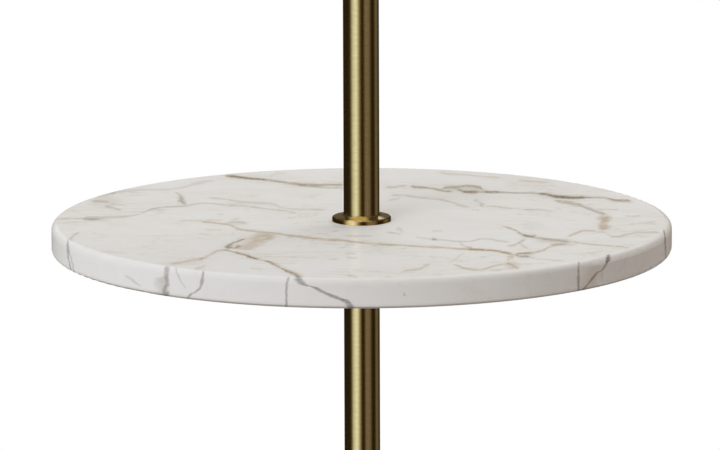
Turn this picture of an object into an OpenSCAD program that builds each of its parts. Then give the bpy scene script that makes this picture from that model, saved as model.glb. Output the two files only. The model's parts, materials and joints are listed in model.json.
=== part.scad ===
// Floor lamp with a round marble shelf part way up its brass pole.
// The origin is on the floor under the middle of the base, +Z is up and the
// switch knob faces -Y. All sizes are in millimetres.

/* [Base] */
// Diameter of the spun brass base cover
base_d = 300; // [270:5:330]
// Height of the cover's shoulder above the floor
base_edge_h = 22; // [20:1:28]
// Rise of the cover from its shoulder to its flat centre
base_rise = 4; // [2:0.5:8]
// Radius of the cover's rounded shoulder
base_edge_r = 7; // [5:0.5:10]
// Diameter of the cover's flat centre
base_flat_d = 64; // [58:1:80]
// Sheet thickness of the cover
cover_wall = 1.2; // [0.9:0.1:1.8]
// Gap between the cast weight and the cover over it
weight_gap = 1.5; // [1:0.25:2.5]
// Gap between the cast weight's rim and the cover's wall
weight_rim_gap = 1; // [0.5:0.25:2]
// Radius of the cast weight's top edge
weight_edge_r = 6; // [4:0.5:9]
// Diameter of the weight's raised hub
hub_d = 56; // [48:1:57]
// Thickness of the felt under the base
felt_t = 2; // [1.5:0.25:3]
// How far the felt stops short of the cover's edge
felt_margin = 5; // [3:0.5:10]
// Diameter of the recess that holds the fixing nut
recess_d = 44; // [36:1:54]
// Depth of that recess, and of the cord channel that leads out of it
recess_depth = 11.5; // [11.25:0.25:13]
// Width of the cord channel
channel_w = 13; // [12:0.5:16]

/* [Cord gland] */
// Bore of the rubber gland that the mains cord goes in through
gland_bore = 6.4; // [5:0.2:7]
// Diameter of the gland's neck in the cover's wall
gland_neck_d = 8.2; // [7.6:0.1:9]
// Diameter of the gland's outer flange
gland_flange_d = 11; // [10.4:0.2:12]
// Diameter of the gland's inner flange
gland_inner_d = 10; // [9.6:0.1:10.8]
// Thickness of each gland flange
gland_flange_t = 1.5; // [1:0.25:2.5]

/* [Pole] */
// Diameter of the pole
pole_d = 22; // [20:0.5:25]
// Wall of the pole's tubes
pole_wall = 1.2; // [1:0.1:1.5]
// Height of the pole's top above the floor
pole_h = 1250; // [1150:10:1350]
// Height of the joint between the two tubes above the shelf
pole_joint_h = 930; // [850:10:1000]
// Length of the threaded plug in each tube end
plug_len = 14; // [13:1:20]
// How far each plug is set back from its tube's end
plug_recess = 0.5; // [0.3:0.1:0.8]
// Diameter of the hollow threaded studs
stud_d = 9.9; // [9:0.1:10.5]
// Bore of the hollow studs
stud_bore = 7; // [6:0.1:7.5]
// How far a stud reaches into a plug
stud_grip = 12; // [8:0.5:13]

/* [Seat rings] */
// Diameter of the brass rings that the pole stands in
ring_d = 36; // [32:0.5:42]
// Height of a ring's upright rim
ring_rim_h = 2.9; // [1.8:0.1:3.2]
// Whole height of a ring
ring_h = 4.4; // [3.8:0.1:6]
// Bevel round the top of a ring's rim
ring_bevel = 0.6; // [0.4:0.05:1.1]
// Width of the flat lip round the pole on a ring
ring_lip = 0.3; // [0.2:0.05:0.8]
// Depth of the seat that a tube end sits in
seat_depth = 1.5; // [1:0.1:2]

/* [Shelf] */
// Height of the shelf's top above the floor
shelf_h = 610; // [520:10:700]
// Diameter of the marble shelf
shelf_d = 380; // [320:5:420]
// Thickness of the marble
shelf_t = 18; // [15:0.5:24]
// Radius of the marble's top edge
shelf_top_r = 4; // [2:0.5:6]
// Radius of the marble's bottom edge
shelf_bottom_r = 3.5; // [2:0.5:6]
// Diameter of the hole through the marble
shelf_bore = 14; // [13:0.5:18]
// Diameter of the rubber pad under the marble
pad_d = 90; // [70:1:96]
// Thickness of that pad
pad_t = 1.5; // [1:0.25:3]
// Diameter of the plate that carries the marble
plate_d = 98; // [90:1:120]
// Thickness of that plate
plate_t = 3; // [2:0.5:5]
// Diameter of the thin washer under the upper ring
washer_d = 28; // [24:0.5:31]
// Thickness of that washer
washer_t = 1; // [0.8:0.1:1.5]

/* [Base fixing] */
// Diameter of the washer under the weight
base_washer_d = 28; // [22:1:32]
// Thickness of that washer
base_washer_t = 1.5; // [1:0.25:2]
// Width across flats of the fixing nut
nut_af = 17; // [15:0.5:19]
// Thickness of the fixing nut
nut_t = 5; // [4:0.5:6]
// How far the base stud stands out under the nut
stud_proud = 1.5; // [0.5:0.25:2]

/* [Pole top] */
// Diameter of the turned cap on the pole's top
neck_d = 26; // [25.5:0.5:30]
// How far the neck cap reaches down over the pole
neck_skirt = 2; // [1.5:0.25:5]
// Height of the neck cap above the pole's end
neck_h = 4; // [3:0.5:8]
// Diameter of the neck cap's small top face
neck_top_d = 19; // [17:0.5:21]

/* [Harp] */
// Height of the shade's seat over the saddle's underside
harp_h = 229; // [205:1:255]
// Distance from the lamp's axis to each leg of the harp
harp_leg_x = 28; // [26:0.5:32]
// Wire diameter of the harp
harp_wire_d = 4.2; // [3.8:0.1:4.8]
// Straight length at the foot of each leg
harp_foot = 30; // [26:1:36]
// Radius of the bend above that foot
harp_bend_r = 45; // [35:1:60]
// Angle at which each leg leans outward
harp_lean = 20; // [16:0.5:24]
// Depth of the flat on top of the wire under the shade's seat
harp_flat = 0.5; // [0.3:0.1:0.8]
// Thickness of the saddle's strip
saddle_t = 1.5; // [1.2:0.1:2]
// Width of the saddle's arms
saddle_w = 12; // [9:0.5:14]
// Diameter of the saddle's round centre
saddle_centre_d = 24; // [20:0.5:26]
// Inside radius of the saddle's bends
saddle_bend_r = 2; // [1:0.5:3]
// Height of the saddle's ears up to their shoulders
ear_h = 9; // [7:0.5:11]
// Height of the narrow tab on each ear
tab_h = 8; // [6:0.5:9]
// Width of that tab
tab_w = 3.8; // [3:0.1:4]
// Length of each locking sleeve
sleeve_len = 12; // [11:0.5:15]
// Wall of each locking sleeve
sleeve_wall = 1.5; // [1:0.1:2]
// Diameter of the seat that the shade rests on
seat_d = 18; // [15:0.5:22]
// Thickness of that seat
seat_t = 2; // [1.5:0.25:3]
// Diameter of the stud that the finial screws on
finial_stud_d = 6.3; // [5.5:0.1:6.8]
// Length of that stud above the seat
finial_stud_len = 13; // [11:0.5:15]

/* [Lampholder] */
// Diameter of the lampholder's cap
cap_d = 35; // [34.4:0.1:37]
// Height of the lampholder's cap
cap_h = 26; // [25:0.5:28]
// Radius of the cap's rounded bowl
bowl_r = 9.5; // [8.5:0.25:10.5]
// Height of the thick foot under that bowl
bowl_foot_h = 5.5; // [4.5:0.25:6]
// Sheet thickness of the cap
cap_wall = 0.8; // [0.6:0.1:1]
// Sheet thickness of the shell
shell_wall = 0.5; // [0.4:0.05:0.7]
// Height of the shell's rim above the bottom of the cap
shell_top = 62.5; // [60:0.5:66]
// How far the shell is pushed down into the cap
shell_grip = 3.5; // [2.5:0.25:4]
// How far the beads on the cap and the shell stand out
bead = 0.7; // [0.4:0.1:1]
// Width of those beads
bead_w = 2; // [1.5:0.25:2.5]
// Thickness of the card liner in the shell
liner_wall = 0.5; // [0.3:0.05:0.6]
// Height of the insulating body's underside above the bottom of the cap
body_bottom = 12; // [11:0.5:13]
// Height of the insulating body's top above the bottom of the cap
body_top = 37; // [36.5:0.5:39]
// Height of the switch spindle above the bottom of the cap
spindle_h = 31.5; // [31:0.25:32.5]
// Diameter of the switch spindle
spindle_d = 4; // [3:0.1:4.4]
// Width of the switch knob's flat key
key_w = 15; // [12:0.5:18]
// Length of the key from its hub to its end
key_len = 11; // [9:0.5:13]
// Thickness of the key
key_t = 3; // [2.2:0.1:4]
// Diameter of the knob's hub
knob_hub_d = 8; // [6.5:0.25:9]
// Length of the knob's hub
knob_hub_len = 5; // [4:0.5:7]
// Head diameter of the terminal screws
terminal_d = 6; // [5:0.25:7]
// Height of the terminal screws above the bottom of the cap
terminal_h = 20; // [19:0.25:21]
// Smallest inside diameter of the threaded shell for the bulb
screw_bore = 26.5; // [26.3:0.1:27]
// Depth of the bulb's thread and of the threaded shell's
thread_depth = 0.4; // [0.3:0.05:0.5]
// Pitch of the bulb's thread
thread_pitch = 3.6; // [3.4:0.1:3.8]
// Turns of thread in the threaded shell
thread_turns = 5; // [4:1:6]
// Plain length before and after a thread
thread_margin = 1; // [0.5:0.25:1.5]

/* [Bulb] */
// Diameter of the bulb's globe
bulb_d = 60; // [54:1:64]
// Whole length of the bulb
bulb_len = 108; // [104:1:114]
// Diameter of the bulb's threaded cap over its crests
bulb_cap_d = 25.9; // [25.5:0.1:26.1]
// Length of the bulb's threaded cap
bulb_cap_len = 19; // [17:0.5:20]
// Height of the dark insulator under that cap
insulator_h = 3.6; // [3:0.1:4.5]
// Diameter of the bulb's centre contact
contact_d = 9; // [8:0.25:10]
// Wall of the bulb's plastic body and globe
bulb_wall = 1.2; // [0.9:0.1:1.6]
// How far below its widest point the globe meets the body
globe_split = 12.7; // [10:0.5:14]

/* [Shade] */
// Diameter of the shade at its top
shade_top_d = 356; // [330:2:380]
// Diameter of the shade at its bottom
shade_bottom_d = 406; // [390:2:430]
// Upright height of the shade
shade_h = 250; // [215:5:285]
// Height of the shade's top over the underside of the spider's centre
spider_drop = 15; // [12:0.5:22]
// Thickness of the shade's fabric
fabric_t = 0.6; // [0.5:0.05:0.9]
// Thickness of the stiff liner behind the fabric
liner_t = 0.5; // [0.3:0.05:0.8]
// Width of the folded tape round the shade's edges
tape_w = 9; // [7:0.5:14]
// Thickness of that tape
tape_t = 0.4; // [0.3:0.05:0.6]
// Wire diameter of the shade's two rings
wire_d = 3; // [2.5:0.1:3.6]
// Wire diameter of the spider's arms
arm_d = 2.4; // [2:0.1:2.4]
// How far the wire swells at an arm's bend
bend_swell = 0.15; // [0.1:0.05:0.3]
// Number of arms in the spider
arm_count = 3; // [3:1:4]
// Direction of the first spider arm, in degrees from +X
first_arm_a = 90; // [0:5:115]
// Length of the sloping end of each spider arm
arm_rise_run = 18; // [12:1:28]
// Diameter of the spider's centre washer
spider_hub_d = 22; // [19:0.5:26]
// Thickness of that washer
spider_hub_t = 2; // [1.6:0.2:3]

/* [Finial] */
// Diameter of the finial's barrel
finial_d = 16; // [13:0.5:20]
// Height of the finial
finial_h = 30; // [27:0.5:40]
// Diameter of the finial's neck
finial_neck_d = 10; // [8.5:0.25:11]
// Diameter of the finial's foot
finial_foot_d = 14; // [12:0.5:16]
// Radius of the barrel's rounded ends
finial_round = 2; // [1:0.25:3]

/* [Clearances] */
// Gap between a stud and the threads round it
thread_clear = 0.06; // [0.04:0.01:0.1]
// Gap between a tube end and the seat round it
seat_clear = 0.08; // [0.05:0.01:0.15]
// Gap between a pressed plug and its tube
press_clear = 0.02; // [0.01:0.01:0.05]
// Gap round parts that turn or slide in each other
run_clear = 0.05; // [0.03:0.01:0.08]
// Gap round parts that only pass through a hole
pass_clear = 0.3; // [0.2:0.05:0.5]
// Gap between parts that stand apart
stand_gap = 0.3; // [0.25:0.05:0.5]

/* [Hidden] */
$fn = 96;

brass = [0.62, 0.50, 0.30];
bright_brass = [0.78, 0.64, 0.36];
marble = [0.86, 0.85, 0.83];
steel = [0.66, 0.66, 0.64];
iron = [0.24, 0.24, 0.25];
rubber = [0.13, 0.13, 0.13];
plastic = [0.18, 0.15, 0.13];
white_plastic = [0.93, 0.93, 0.91];
card = [0.72, 0.66, 0.54];
linen = [0.90, 0.87, 0.80];

// Steps in each quarter turn of an outline
quarter_steps = 8;
// Extra length of a cut, so that it ends outside the solid
over = 1;

// Radii
base_r = base_d / 2;
pole_r = pole_d / 2;
tube_bore_r = pole_r - pole_wall;
plug_r = tube_bore_r - press_clear;
stud_r = stud_d / 2;
stud_hole_r = stud_r + thread_clear;
stud_pass_r = stud_r + pass_clear;
ring_r = ring_d / 2;
seat_r = pole_r + seat_clear;
shelf_r = shelf_d / 2;

// Heights in the base
weight_top = base_edge_h - cover_wall - weight_gap;
cover_top = base_edge_h + base_rise;
recess_top = felt_t + recess_depth;
nut_z = recess_top - base_washer_t - nut_t;
gland_z = felt_t + gland_flange_d / 2 + stand_gap;

// Heights along the pole
base_tube_z = cover_top + ring_h - seat_depth;
shelf_z = shelf_h - shelf_t;
pad_z = shelf_z - pad_t;
plate_z = pad_z - plate_t;
shelf_ring_z = plate_z - ring_h;
lower_tube_top = shelf_ring_z + seat_depth;
middle_tube_z = shelf_h + ring_h - seat_depth;

// Heights at the top of the pole
saddle_z = pole_h + neck_h;
holder_z = saddle_z + saddle_t;
seat_top_z = saddle_z + harp_h;
leg_z = saddle_z + ear_h + tab_h;
top_stud_end = holder_z + bowl_r - cap_wall;

// The harp's outline, worked out from its height
harp_wire_r = harp_wire_d / 2;
harp_top_z = seat_top_z - seat_t - harp_wire_r + harp_flat;
harp_rise = harp_top_z - leg_z;
harp_lean_k = (1 + sin(harp_lean)) / cos(harp_lean);
bend_x = harp_leg_x + harp_bend_r * (1 - cos(harp_lean));
bend_z = harp_foot + harp_bend_r * sin(harp_lean);
lean_len = (harp_rise - bend_z) / harp_lean_k - bend_x;
crown_x = bend_x + lean_len * sin(harp_lean);
crown_z = bend_z + lean_len * cos(harp_lean);
crown_r = crown_x / cos(harp_lean);
bend_steps = 4;
crown_steps = 18;
wire_sides = 12;
sleeve_bore_r = harp_wire_r + run_clear;

// Lampholder
cap_r = cap_d / 2;
bowl_x = cap_r - bowl_r;
bowl_z = bowl_r + bowl_foot_h;
shell_r = cap_r - stand_gap;
shell_foot_r = cap_r - cap_wall - press_clear;
shell_foot_z = cap_h - shell_grip;
liner_r = shell_foot_r - shell_wall - press_clear;
liner_in = liner_r - 2 * liner_wall;
liner_gap = 1;
body_r = liner_r - liner_wall - pass_clear;
knob_y = cap_r + bead + stand_gap;
spindle_in = 3;
terminal_head_t = 2;
terminal_x = body_r - 1.5 * terminal_head_t;
screw_wall = 0.35;
screw_bore_r = screw_bore / 2;
screw_len = thread_pitch * thread_turns + 2 * thread_margin;

// Bulb
contact_rise = 1.4;
contact_t = 1.2;
bulb_z = holder_z + body_top + contact_rise + stand_gap;
bulb_r = bulb_d / 2;
bulb_cap_r = bulb_cap_d / 2;
cap_z = contact_t + insulator_h;
cap_top = cap_z + bulb_cap_len;
globe_z = bulb_len - bulb_r;
split_z = globe_z - globe_split;
split_r = sqrt(bulb_r * bulb_r - globe_split * globe_split);
collar_r = bulb_cap_r;
collar_z = split_z - (split_r - collar_r) * split_r / globe_split;

// Shade
shade_top_z = seat_top_z + spider_drop;
shade_z = shade_top_z - shade_h;
shade_slope = (shade_bottom_d - shade_top_d) / 2 / shade_h;
tape_turn = 2;
ring_inset = tape_turn + wire_d / 2 + stand_gap;
top_ring_z = shade_top_z - ring_inset;
bottom_ring_z = shade_z + ring_inset;
spider_z = seat_top_z + arm_d / 2 + run_clear;
finial_z = seat_top_z + spider_hub_t;

// Points of an arc about [x, z] from angle a0 to angle a1
function arc(x, z, r, a0, a1) =
    let (n = ceil(quarter_steps * abs(a1 - a0) / 90))
    [for (i = [0 : n]) let (a = a0 + (a1 - a0) * i / n) [x + r * cos(a), z + r * sin(a)]];

// Stations along one side of the harp's wire, each [x, z, tilt from upright]
harp_side = concat(
    [[harp_leg_x, harp_foot - over, 0]],
    [for (i = [0 : bend_steps]) let (a = harp_lean * i / bend_steps) [
        harp_leg_x + harp_bend_r * (1 - cos(a)),
        harp_foot + harp_bend_r * sin(a),
        a
    ]],
    [for (i = [0 : crown_steps]) let (a = -harp_lean + (90 + harp_lean) * i / crown_steps) [
        crown_r * cos(a),
        crown_z + crown_r * (sin(harp_lean) + sin(a)),
        -a
    ]]
);

// The same station on the other side, going down
function mirrored(station) = [-station[0], station[1], 180 - station[2]];

// Points round the wire at a station
function ring_points(station) =
    let (r = harp_wire_r - press_clear)
    [for (j = [0 : wire_sides - 1]) let (a = 360 * j / wire_sides) [
        station[0] + r * cos(a) * cos(station[2]),
        r * sin(a),
        station[1] - r * cos(a) * sin(station[2])
    ]];

// Outside radius of the shade at a height
function shade_r(z) = shade_bottom_d / 2 - shade_slope * (z - shade_z);

// Centre radius of a wire ring that lies inside the shade at a height
function wire_ring_r(z) =
    shade_r(z) - fabric_t - liner_t - wire_d / 2 * sqrt(1 + shade_slope * shade_slope) - run_clear;

// Points of a wavy thread flank, going up from z0 at mean radius r
function thread_points(r, z0, turns, depth) =
    [for (i = [0 : 6 * turns])
        [r - depth / 2 * cos(60 * i), z0 + thread_pitch * i / 6]];

// A ring or tube standing on z
module tube(outer_r, inner_r, z, h) {
    translate([0, 0, z])
        difference() {
            cylinder(r = outer_r, h = h);
            translate([0, 0, -over])
                cylinder(r = inner_r, h = h + 2 * over);
        }
}

// A closed outline turned about the lamp's axis
module turned(points, z = 0) {
    translate([0, 0, z])
        rotate_extrude()
            polygon(points);
}

// Brass ring with an upright rim, a sloping top and a seat for a tube end.
// It stands on z and the tube enters from above.
module seat_ring() {
    slope_z = ring_h - ring_rim_h;
    turned([
        [stud_pass_r, 0],
        [ring_r, 0],
        [ring_r, ring_rim_h - ring_bevel],
        [ring_r - ring_bevel, ring_rim_h],
        [seat_r + ring_lip + slope_z / 2, ring_h - slope_z / 3],
        [seat_r + ring_lip, ring_h],
        [seat_r, ring_h],
        [seat_r, ring_h - seat_depth],
        [stud_pass_r, ring_h - seat_depth]
    ]);
}

// Base

module felt_pad() {
    color(iron)
        cylinder(r = base_r - felt_margin, h = felt_t);
}

module base_weight() {
    rim_r = base_r - cover_wall - weight_rim_gap;
    hub_top = cover_top - cover_wall;
    color(iron)
        difference() {
            turned(concat(
                [[0, felt_t], [rim_r, felt_t]],
                arc(rim_r - weight_edge_r, weight_top - weight_edge_r, weight_edge_r, 0, 90),
                [[hub_d / 2, weight_top], [hub_d / 2, hub_top], [0, hub_top]]
            ));
            translate([0, 0, felt_t - over])
                cylinder(r = recess_d / 2, h = recess_depth + over);
            cylinder(r = stud_pass_r, h = hub_top + over);
            translate([-channel_w / 2, 0, felt_t - over])
                cube([channel_w, base_r, recess_depth + over]);
        }
}

module base_cover() {
    shoulder_x = base_r - base_edge_r;
    shoulder_z = base_edge_h - base_edge_r;
    color(brass)
        difference() {
            turned(concat(
                [[base_r, felt_t]],
                arc(shoulder_x, shoulder_z, base_edge_r, 0, 90),
                [
                    [base_flat_d / 2, cover_top],
                    [stud_pass_r, cover_top],
                    [stud_pass_r, cover_top - cover_wall],
                    [base_flat_d / 2, cover_top - cover_wall]
                ],
                arc(shoulder_x, shoulder_z, base_edge_r - cover_wall, 90, 0),
                [[base_r - cover_wall, felt_t]]
            ));
            translate([0, base_r, gland_z])
                rotate([90, 0, 0])
                    cylinder(d = gland_neck_d + 2 * run_clear, h = 4 * base_edge_r, center = true);
        }
}

module cord_gland() {
    inner_face = cover_wall + stand_gap;
    color(rubber)
        translate([0, base_r, gland_z])
            rotate([-90, 0, 0])
                turned([
                    [gland_bore / 2, -inner_face - gland_flange_t],
                    [gland_inner_d / 2, -inner_face - gland_flange_t],
                    [gland_inner_d / 2, -inner_face],
                    [gland_neck_d / 2, -inner_face],
                    [gland_neck_d / 2, 0],
                    [gland_flange_d / 2, 0],
                    [gland_flange_d / 2, gland_flange_t / 2],
                    [gland_flange_d / 2 - gland_flange_t / 2, gland_flange_t],
                    [gland_bore / 2, gland_flange_t]
                ]);
}

module base_washer() {
    color(steel)
        tube(base_washer_d / 2, stud_pass_r, recess_top - base_washer_t, base_washer_t);
}

module base_nut() {
    color(steel)
        translate([0, 0, nut_z])
            difference() {
                cylinder(d = nut_af / cos(30), h = nut_t, $fn = 6);
                translate([0, 0, -over])
                    cylinder(r = stud_hole_r, h = nut_t + 2 * over);
            }
}

module base_stud() {
    z0 = nut_z - stud_proud;
    color(steel)
        tube(stud_r, stud_bore / 2, z0, base_tube_z + stud_grip - z0);
}

module base_ring() {
    color(brass)
        translate([0, 0, cover_top])
            seat_ring();
}

// Pole

module pole_tube(z0, z1) {
    color(brass)
        tube(pole_r, tube_bore_r, z0, z1 - z0);
}

module pole_lower() {
    pole_tube(base_tube_z, lower_tube_top);
}

module pole_middle() {
    pole_tube(middle_tube_z, pole_joint_h);
}

module pole_upper() {
    pole_tube(pole_joint_h, pole_h);
}

module pole_plugs() {
    plug_bottoms = [
        base_tube_z + plug_recess,
        lower_tube_top - plug_recess - plug_len,
        middle_tube_z + plug_recess,
        pole_joint_h - plug_recess - plug_len,
        pole_joint_h + plug_recess,
        pole_h - plug_recess - plug_len
    ];
    color(bright_brass)
        for (z = plug_bottoms)
            tube(plug_r, stud_hole_r, z, plug_len);
}

module pole_joiner() {
    color(steel)
        tube(stud_r, stud_bore / 2, pole_joint_h - stud_grip, 2 * stud_grip);
}

// Shelf

module shelf_ring_lower() {
    color(brass)
        translate([0, 0, plate_z])
            mirror([0, 0, 1])
                seat_ring();
}

module shelf_plate() {
    bevel = plate_t / 4;
    color(brass)
        turned([
            [stud_pass_r, 0],
            [plate_d / 2 - bevel, 0],
            [plate_d / 2, bevel],
            [plate_d / 2, plate_t],
            [stud_pass_r, plate_t]
        ], plate_z);
}

module shelf_pad() {
    color(rubber)
        tube(pad_d / 2, stud_pass_r, pad_z, pad_t);
}

// Round slab with a rounded edge above and below
module marble_shelf() {
    color(marble)
        translate([0, 0, shelf_z])
            difference() {
                rotate_extrude() {
                    square([shelf_r - shelf_bottom_r, shelf_t - shelf_top_r]);
                    square([shelf_r - shelf_top_r, shelf_t]);
                    translate([0, shelf_bottom_r])
                        square([shelf_r, shelf_t - shelf_top_r - shelf_bottom_r]);
                    intersection() {
                        translate([shelf_r - shelf_top_r, shelf_t - shelf_top_r])
                            circle(r = shelf_top_r);
                        square([shelf_r, shelf_t]);
                    }
                    intersection() {
                        translate([shelf_r - shelf_bottom_r, shelf_bottom_r])
                            circle(r = shelf_bottom_r);
                        square([shelf_r, shelf_t]);
                    }
                }
                translate([0, 0, -over])
                    cylinder(d = shelf_bore, h = shelf_t + 2 * over);
            }
}

module shelf_bush() {
    color(white_plastic)
        tube(shelf_bore / 2 - run_clear, stud_r + run_clear, shelf_z, shelf_t);
}

module shelf_washer() {
    color(rubber)
        tube(washer_d / 2, stud_pass_r, shelf_h, washer_t);
}

module shelf_ring_upper() {
    color(brass)
        translate([0, 0, shelf_h])
            difference() {
                seat_ring();
                translate([0, 0, -over])
                    cylinder(r = washer_d / 2 + run_clear, h = washer_t + over);
            }
}

module shelf_stud() {
    z0 = lower_tube_top - stud_grip;
    color(steel)
        tube(stud_r, stud_bore / 2, z0, middle_tube_z + stud_grip - z0);
}

// Top of the pole

module top_stud() {
    z0 = pole_h - stud_grip;
    color(steel)
        tube(stud_r, stud_bore / 2, z0, top_stud_end - z0);
}

module neck_cap() {
    round_r = (neck_d - neck_top_d) / 2;
    color(brass)
        turned(concat(
            [
                [stud_hole_r, 0],
                [seat_r, 0],
                [seat_r, -neck_skirt],
                [neck_d / 2, -neck_skirt],
                [neck_d / 2, neck_h - round_r]
            ],
            arc(neck_top_d / 2, neck_h - round_r, round_r, 0, 90),
            [[stud_hole_r, neck_h]]
        ), pole_h);
}

// Harp and its saddle

// Upright strip outline in the saddle's bend plane, from the foot to a height
module saddle_outline(top) {
    outer_x = harp_leg_x + saddle_t / 2;
    inner_x = harp_leg_x - saddle_t / 2;
    outer_r = saddle_bend_r + saddle_t;
    difference() {
        union() {
            translate([-outer_x + outer_r, 0])
                square([2 * (outer_x - outer_r), outer_r]);
            for (side = [-1, 1])
                translate([side * (outer_x - outer_r), outer_r])
                    circle(r = outer_r);
            translate([-outer_x, outer_r])
                square([2 * outer_x, top - outer_r]);
        }
        translate([-inner_x + saddle_bend_r, saddle_t])
            square([2 * (inner_x - saddle_bend_r), top]);
        for (side = [-1, 1])
            translate([side * (inner_x - saddle_bend_r), saddle_t + saddle_bend_r])
                circle(r = saddle_bend_r);
        translate([-inner_x, saddle_t + saddle_bend_r])
            square([2 * inner_x, top]);
    }
}

module harp_saddle() {
    color(brass)
        translate([0, 0, saddle_z])
            difference() {
                union() {
                    rotate([90, 0, 0])
                        linear_extrude(saddle_w, center = true)
                            saddle_outline(ear_h);
                    cylinder(d = saddle_centre_d, h = saddle_t);
                    for (side = [-1, 1])
                        translate([side * harp_leg_x - saddle_t / 2, -tab_w / 2, ear_h - over])
                            cube([saddle_t, tab_w, tab_h + over]);
                }
                translate([0, 0, -over])
                    cylinder(r = stud_pass_r, h = saddle_t + 2 * over);
            }
}

// Straight foot of one leg, which the locking sleeve slides on
module harp_leg() {
    translate([harp_leg_x, 0, 0])
        cylinder(r = harp_wire_r, h = harp_foot);
}

// Bent wire from one foot over the crown to the other, as one swept tube
module harp_bow() {
    rings = concat(harp_side, [for (i = [len(harp_side) - 2 : -1 : 0]) mirrored(harp_side[i])]);
    sides = wire_sides;
    points = [for (ring = rings) each ring_points(ring)];
    last = (len(rings) - 1) * sides;
    walls = [for (i = [0 : len(rings) - 2]) for (j = [0 : sides - 1])
        let (a = i * sides + j, b = i * sides + (j + 1) % sides)
            each [[a, b + sides, b], [a, a + sides, b + sides]]];
    ends = [for (j = [1 : sides - 2])
        each [[0, j, j + 1], [last, last + j + 1, last + j]]];
    polyhedron(points = points, faces = concat(walls, ends));
}

module harp() {
    flat_z = harp_rise + harp_wire_r - harp_flat;
    color(brass)
        translate([0, 0, leg_z])
            difference() {
                union() {
                    harp_leg();
                    mirror([1, 0, 0])
                        harp_leg();
                    harp_bow();
                }
                translate([-seat_d / 2, -seat_d / 2, flat_z])
                    cube([seat_d, seat_d, seat_t]);
            }
}

module harp_seat() {
    color(bright_brass)
        translate([0, 0, seat_top_z - seat_t]) {
            cylinder(d = seat_d, h = seat_t);
            cylinder(d = finial_stud_d, h = seat_t + finial_stud_len);
        }
}

module harp_sleeve(side) {
    end_r = sleeve_bore_r + sleeve_wall;
    bevel = sleeve_wall / 3;
    color(bright_brass)
        translate([side * harp_leg_x, 0, 0])
            turned([
                [sleeve_bore_r, 0],
                [end_r - bevel, 0],
                [end_r, bevel],
                [end_r, sleeve_len - bevel],
                [end_r - bevel, sleeve_len],
                [sleeve_bore_r, sleeve_len]
            ], saddle_z + ear_h);
}

module harp_sleeve_left() {
    harp_sleeve(-1);
}

module harp_sleeve_right() {
    harp_sleeve(1);
}

// Lampholder

module socket_cap() {
    hub_r = bowl_x;
    color(brass)
        turned(concat(
            [[stud_hole_r, 0], [hub_r, 0]],
            arc(bowl_x, bowl_z, bowl_r, -90, 0),
            [
                [cap_r, cap_h - bead_w - bead],
                [cap_r + bead, cap_h - bead_w],
                [cap_r + bead, cap_h - bead / 2],
                [cap_r + bead / 2, cap_h],
                [cap_r - cap_wall, cap_h]
            ],
            arc(bowl_x, bowl_z, bowl_r - cap_wall, 0, -90),
            [[stud_hole_r, bowl_z - bowl_r + cap_wall]]
        ), holder_z);
}

// Hole through the front of the lampholder for the switch spindle
module spindle_hole(r, start) {
    translate([0, -start, holder_z + spindle_h])
        rotate([90, 0, 0])
            cylinder(r = r, h = cap_d);
}

module socket_shell() {
    step_z = cap_h + stand_gap;
    color(brass)
        difference() {
            turned([
                [shell_foot_r, shell_foot_z],
                [shell_foot_r, step_z],
                [shell_r + bead, step_z + bead / 2],
                [shell_r + bead, step_z + bead_w],
                [shell_r, step_z + bead_w + bead],
                [shell_r, shell_top - bead_w - bead],
                [shell_r + bead, shell_top - bead_w],
                [shell_r + bead, shell_top - bead / 2],
                [shell_r + bead / 2, shell_top],
                [shell_r - shell_wall, shell_top],
                [shell_r - shell_wall, step_z + bead_w],
                [shell_foot_r - shell_wall, step_z + bead_w / 2],
                [shell_foot_r - shell_wall, shell_foot_z]
            ], holder_z);
            spindle_hole(spindle_d / 2 + pass_clear, liner_in);
        }
}

module socket_liner() {
    z0 = shell_foot_z + liner_gap;
    color(card)
        difference() {
            tube(liner_r, liner_r - liner_wall, holder_z + z0, shell_top - 2 * liner_gap - z0);
            spindle_hole(spindle_d / 2 + pass_clear, liner_in);
        }
}

module socket_body() {
    slot_w = terminal_d + terminal_head_t;
    color(plastic)
        difference() {
            translate([0, 0, holder_z + body_bottom])
                cylinder(r = body_r, h = body_top - body_bottom);
            spindle_hole(spindle_d / 2 + run_clear, spindle_in);
            for (side = [-1, 1])
                translate([side * (terminal_x + body_r / 2), 0, holder_z + terminal_h])
                    cube([body_r, slot_w, slot_w], center = true);
            translate([0, 0, holder_z + terminal_h])
                rotate([0, 90, 0])
                    cylinder(d = terminal_d / 2 + 2 * press_clear, h = cap_d, center = true);
        }
}

module terminal_screws() {
    color(bright_brass)
        for (side = [-1, 1])
            translate([side * terminal_x, 0, holder_z + terminal_h])
                rotate([0, side * 90, 0]) {
                    cylinder(d = terminal_d, h = terminal_head_t);
                    translate([0, 0, -terminal_d])
                        cylinder(d = terminal_d / 2, h = terminal_d + terminal_head_t / 2);
                }
}

module screw_shell() {
    z0 = holder_z + body_top;
    floor_hole = contact_d / 2 + over;
    mean_r = screw_bore_r + thread_depth / 2;
    inner = thread_points(mean_r, thread_margin, thread_turns, thread_depth);
    outer = thread_points(mean_r + screw_wall, thread_margin, thread_turns, thread_depth);
    last = len(inner) - 1;
    color(bright_brass)
        turned(concat(
            [[floor_hole, 0], [screw_bore_r + screw_wall, 0]],
            outer,
            [[screw_bore_r + screw_wall, screw_len], [screw_bore_r, screw_len]],
            [for (i = [0 : last]) inner[last - i]],
            [[screw_bore_r, screw_wall], [floor_hole, screw_wall]]
        ), z0);
}

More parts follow.
